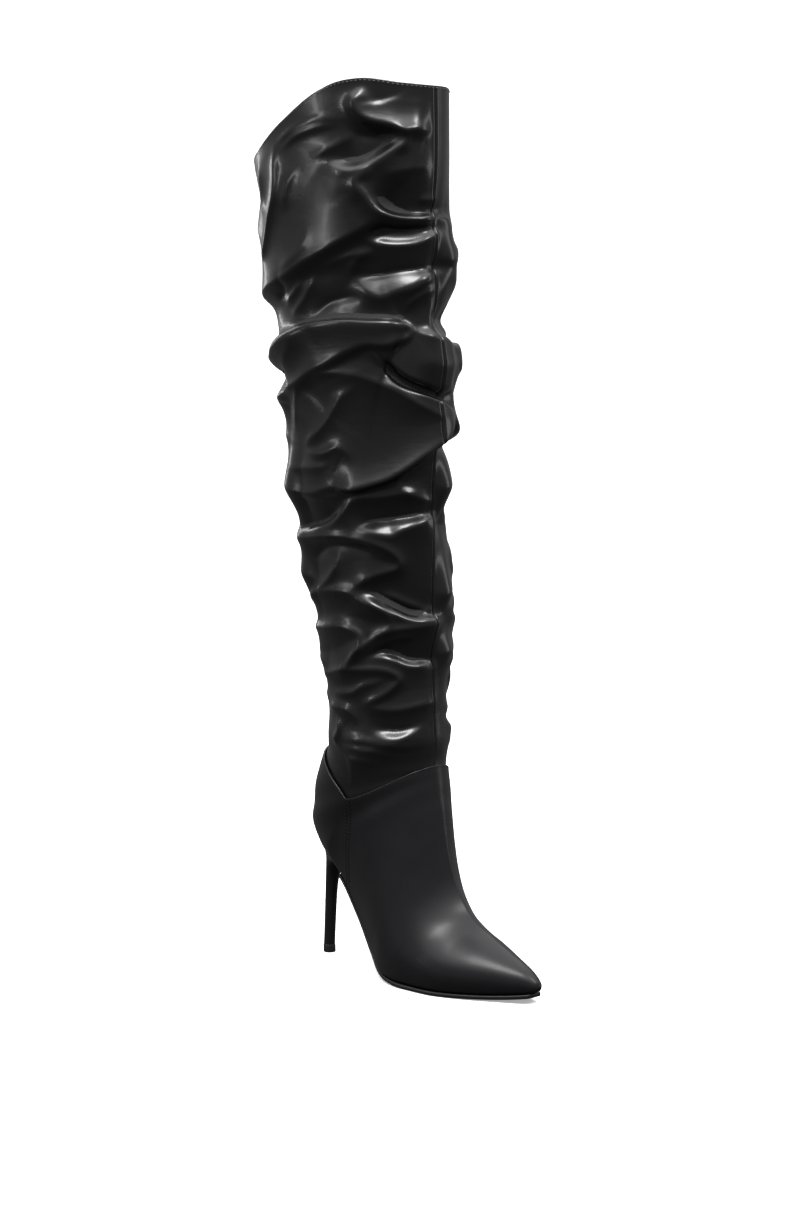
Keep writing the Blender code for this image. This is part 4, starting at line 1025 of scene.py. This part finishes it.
# Brushed synthetic lining: a dull black that gives no highlight.
insole_material, shader = new_material("insole_sock")
plug(insole_material, shader, {"Base Color": linear("#1d1d1f"), "Roughness": 0.75})
insole = plate(
    "insole_sock",
    np.linspace(INSOLE_REACH[0] * TOE_REACH, INSOLE_REACH[1] * TOE_REACH, INSOLE_STATIONS),
    lambda x, side: foot_half_width(x, side, UPPER_WALL, flat_only=True) - INSOLE_GAP,
    lambda x: UPPER_WALL + INSOLE_GAP,
    lambda x: UPPER_WALL + INSOLE_GAP + INSOLE_THICKNESS,
)
finish_piece(insole, insole_material, "insole_lining", "insole")


# Heel
# A slim plastic stiletto on a steel pin, covered in the upper's leather, which
# flares into the seat under the counter. Its breast meets the outsole's end.
HEEL_STEM_DEPTH = 9.0 * MM
HEEL_STEM_WIDTH = 8.6 * MM
HEEL_LEAN = 4.5 * MM
HEEL_TAPER = 0.22
HEEL_FLARE = 9.0
HEEL_SEAT_SHARE = 0.96
HEEL_SEAT_RISE = 4.0 * MM
HEEL_SEAT_BACK = 1.0 * MM
HEEL_SEAT_SQUARE = 0.8
HEEL_SEAT_GAP = 0.6 * MM
TOP_LIFT_THICKNESS = 6.0 * MM
TOP_LIFT_LIP = 0.3 * MM
SEAT_STEPS = 120
SEAT_RINGS = (0.9, 0.75, 0.5, 0.25, 0.02)
HEEL_SIDES = 96
HEEL_ROWS = 90
HEEL_ROW_CROWDING = 0.75


def seat_height(points):
    """Height of the upper straight above each point, infinite where none is above it."""
    hits = [upper_facets.ray_cast((x, y, -SEAT_HEIGHT), (0, 0, 1))[0] for x, y in points]
    return np.array([hit.z if hit else math.inf for hit in hits])


def seat_half_width(x, side):
    """How far out at x the upper's bottom stays low enough for the heel's seat."""
    reach = foot_half_width(x, side) * (1 if side == "inner" else -1)
    across = np.linspace(0, reach, SEAT_STEPS)
    rise = seat_height([(x, y) for y in across]) - seat_height([(x, 0.0)])
    return abs(across[np.nonzero(rise < HEEL_SEAT_RISE)[0].max()])


turn = np.arange(HEEL_SIDES) * 2 * math.pi / HEEL_SIDES
seat_back = float(last_row(list(LAST_SECTIONS).index("heel_end"))["under_x"]) + HEEL_SEAT_BACK
seat_depth = (HEEL_BREAST - seat_back) / 2
squared = np.sign(np.cos(turn)) * np.abs(np.cos(turn)) ** HEEL_SEAT_SQUARE
seat_x = seat_back + seat_depth + seat_depth * squared
seat_half = [seat_half_width(x, "outer" if math.sin(t) < 0 else "inner") for x, t in zip(seat_x, turn)]
seat = np.stack([seat_x, HEEL_SEAT_SHARE * np.array(seat_half) * np.sin(turn)], -1)
lift = TOP_LIFT_THICKNESS + GAP
heel_rings = []
for share in np.linspace(0, 1, HEEL_ROWS) ** HEEL_ROW_CROWDING:
    grow = 1 + HEEL_TAPER * share**2
    stem_x = HEEL_LEAN * share + grow * HEEL_STEM_DEPTH / 2 * np.cos(turn)
    stem_y = grow * HEEL_STEM_WIDTH / 2 * np.sin(turn)
    flare = share**HEEL_FLARE
    plan = np.stack([stem_x, stem_y], -1) * (1 - flare) + seat * flare
    heel_rings.append(np.column_stack([plan, lift + share * (seat_height(plan) - HEEL_SEAT_GAP - lift)]))
centre = seat.mean(axis=0)
for shrink in SEAT_RINGS:
    plan = centre + (seat - centre) * shrink
    heel_rings.append(np.column_stack([plan, seat_height(plan) - HEEL_SEAT_GAP]))
heel_skin = surface("heel_cover", np.array(heel_rings))
finish_piece(heel_skin, foot_leather, "heel_cover", "heel")


# Top piece
# A dense rubber plug on a steel pin, driven into the heel's tip and a hair
# wider than the stem.
SPECKS_PER_METRE = 900.0

# Moulded rubber: matt and a little rough, so it reads greyer than the leather.
rubber_material, shader = new_material("dense_rubber")
place = add(rubber_material, "ShaderNodeTexCoord").outputs["Object"]
speck = add(rubber_material, "ShaderNodeTexNoise", {"Vector": place, "Scale": SPECKS_PER_METRE})
pits = add(
    rubber_material, "ShaderNodeBump", {"Height": speck.outputs["Fac"], "Strength": 0.3, "Distance": 0.2 * MM}
)
rubber_look = {"Base Color": linear("#151515"), "Roughness": 0.62, "Normal": pits.outputs["Normal"]}
plug(rubber_material, shader, rubber_look)

# Each ring's share of the radius and of the thickness, from the tread to the stem.
LIFT_PROFILE = (
    (0.01, 0.0), (0.55, 0.0), (0.94, 0.0), (0.985, 0.06), (1.0, 0.14), (1.0, 0.5), (1.0, 0.86),
    (0.985, 0.94), (0.94, 1.0), (0.5, 1.0), (0.01, 1.0),
)
lift_rings = []
for share, height in LIFT_PROFILE:
    x = share * (HEEL_STEM_WIDTH / 2 + TOP_LIFT_LIP) * HEEL_STEM_DEPTH / HEEL_STEM_WIDTH * np.cos(turn)
    y = share * (HEEL_STEM_WIDTH / 2 + TOP_LIFT_LIP) * np.sin(turn)
    lift_rings.append(np.stack([x, y, np.full_like(x, height * TOP_LIFT_THICKNESS)], -1))
top_piece = surface("top_piece", np.array(lift_rings))
finish_piece(top_piece, rubber_material, "top_piece", "top_lift")


# Collar stitching
# The collar's edge is turned in and held by one row of thread, sewn through
# leather and lining a millimetre below the edge.
HEM_STITCH_DROP = 1.0 * MM
HEM_STITCH = 2.6 * MM
HEM_STITCH_GAP = 0.9 * MM
EDGE_ROWS = 16

# Thread, its grey lighter than the black leather as a painted highlight, so that the row of stitches reads as
# small light dots.
collar_thread_material, shader = new_material("collar_thread_painted_highlight")
plug(collar_thread_material, shader, {"Base Color": linear("#4c4c50"), "Roughness": 0.4})
collar_path = []
collar_normals = []
for angles, rings in panel_rings.values():
    for j, angle in enumerate(angles):
        column = rings[-EDGE_ROWS:, j]
        height = column[-1, 2] - HEM_STITCH_DROP
        collar_path.append([np.interp(height, column[:, 2], column[:, k]) for k in range(3)])
        collar_normals.append(shaft_form(angle, np.array(height))[1])
collar_thread = stitches(
    "collar_stitches", collar_path, np.array(collar_normals), HEM_STITCH, HEM_STITCH_GAP, THREAD
)
finish_piece(collar_thread, collar_thread_material, "shaft_leather")


# Studio
# A pale paper sweep, a dim room with a bright ceiling of diffusers, soft boxes
# overhead, in front and behind, and narrow strips at the sides.
CAMERA_PLACE = Vector((1.7208, -1.6432, 0.6068))
CAMERA_AZIMUTH = math.radians(45.0)
CAMERA_PITCH = math.radians(8.0)
PHOTO_SIZE = (800, 1209)
FOCAL_PIXELS = 3133.0
SENSOR_MM = 36.0

SWEEP_RADIUS = 9.0
SWEEP_HEIGHT = 9.0
SWEEP_CURVE = 4.0
SWEEP_SIDES = 96
SWEEP_CURVE_STEPS = 13
FLOOR_GAP = 0.2 * MM
sweep_profile = [(0.001, 0.0), (2.0, 0.0), (SWEEP_RADIUS - SWEEP_CURVE, 0.0)]
for bend in np.linspace(0, math.pi / 2, SWEEP_CURVE_STEPS)[1:]:
    radius = SWEEP_RADIUS - SWEEP_CURVE * (1 - math.sin(bend))
    sweep_profile.append((radius, SWEEP_CURVE * (1 - math.cos(bend))))
sweep_profile.append((SWEEP_RADIUS, SWEEP_HEIGHT))
turn = np.arange(SWEEP_SIDES) * 2 * math.pi / SWEEP_SIDES
circle = np.stack([np.cos(turn), np.sin(turn), np.zeros_like(turn)], -1)
floor = surface("floor", np.array([circle * radius + (0, 0, z) for radius, z in sweep_profile]))
floor.location.z = -FLOOR_GAP

# White paper, lit evenly by a little light of its own so that it stays pale.
floor_material, shader = new_material("white_studio_paper")
paper_look = {"Base Color": (0.9, 0.9, 0.9, 1), "Roughness": 0.9, "Specular IOR Level": 0.0}
plug(floor_material, shader, {**paper_look, "Emission Color": (1, 1, 1, 1), "Emission Strength": 0.35})
floor.data.materials.append(floor_material)
floor.visible_glossy = False
floor.visible_diffuse = False
floor.visible_shadow = False

# How bright the room is from straight down to straight up.
SKY = (
    ("down", 0.0, 0.06),
    ("under_horizon", 0.40, 0.13),
    ("horizon", 0.49, 0.26),
    ("wall", 0.66, 0.24),
    ("wall_top", 0.78, 0.36),
    ("ceiling_edge", 0.86, 1.9),
    ("ceiling", 1.0, 2.9),
)
world = bpy.data.worlds.new("studio")
bpy.context.scene.world = world
world.use_nodes = True
direction = add(world, "ShaderNodeTexCoord").outputs["Generated"]
upward = add(world, "ShaderNodeSeparateXYZ", {"Vector": direction}).outputs["Z"]
share = add(world, "ShaderNodeMapRange", {"Value": upward, "From Min": -1.0, "From Max": 1.0})
ramp = add(world, "ShaderNodeValToRGB", {"Fac": share.outputs["Result"]})
brightest = max(level for name, position, level in SKY)
while len(ramp.color_ramp.elements) < len(SKY):
    ramp.color_ramp.elements.new(0.5)
for stop, (name, position, level) in zip(ramp.color_ramp.elements, SKY):
    stop.position = position
    stop.color = (level / brightest, level / brightest, level / brightest, 1)
background = world.node_tree.nodes["Background"]
plug(world, background, {"Strength": brightest, "Color": ramp.outputs["Color"]})

# Each light's place, what it faces, its width and height, in metres, and its power in watts.
LIGHTS = {
    "top_softbox": ((0.5, -0.9, 2.4), (0.05, 0.0, 0.3), 0.8, 0.8, 40),
    "back_softbox": ((-1.3, 1.5, 1.8), (0.0, 0.0, 0.4), 1.4, 0.5, 16),
    "front_softbox": ((1.5, 0.2, 2.1), (0.05, 0.0, 0.35), 0.5, 0.5, 14),
    "right_strip": ((1.4, 1.9, 0.9), (0.0, 0.0, 0.4), 0.6, 1.8, 6),
    "rim_strip": ((-2.0, 0.45, 1.0), (0.0, 0.0, 0.4), 0.2, 1.5, 4),
    "left_strip": ((-1.2, -1.7, 1.1), (0.0, 0.0, 0.4), 0.08, 1.3, 5),
}
for name, (stand, target, width, height, watts) in LIGHTS.items():
    light = bpy.data.lights.new(name, "AREA")
    light.shape = "RECTANGLE"
    light.size = width
    light.size_y = height
    light.energy = watts
    lamp = bpy.data.objects.new(name, light)
    lamp.location = stand
    lamp.rotation_euler = (Vector(target) - Vector(stand)).to_track_quat("-Z", "Y").to_euler()
    bpy.context.scene.collection.objects.link(lamp)

camera_data = bpy.data.cameras.new("camera")
camera_data.sensor_fit = "VERTICAL"
camera_data.sensor_height = SENSOR_MM
camera_data.lens = SENSOR_MM * FOCAL_PIXELS / PHOTO_SIZE[1]
camera = bpy.data.objects.new("camera", camera_data)
s, c = math.sin(CAMERA_AZIMUTH), math.cos(CAMERA_AZIMUTH)
sp, cp = math.sin(CAMERA_PITCH), math.cos(CAMERA_PITCH)
right = Vector((c, s, 0))
up = Vector((-s * sp, c * sp, cp))
back = -Vector((-s * cp, c * cp, -sp))
camera.matrix_world = Matrix.Translation(CAMERA_PLACE) @ Matrix((right, up, back)).transposed().to_4x4()
bpy.context.scene.collection.objects.link(camera)
bpy.context.scene.camera = camera
bpy.context.scene.view_settings.view_transform = "Standard"
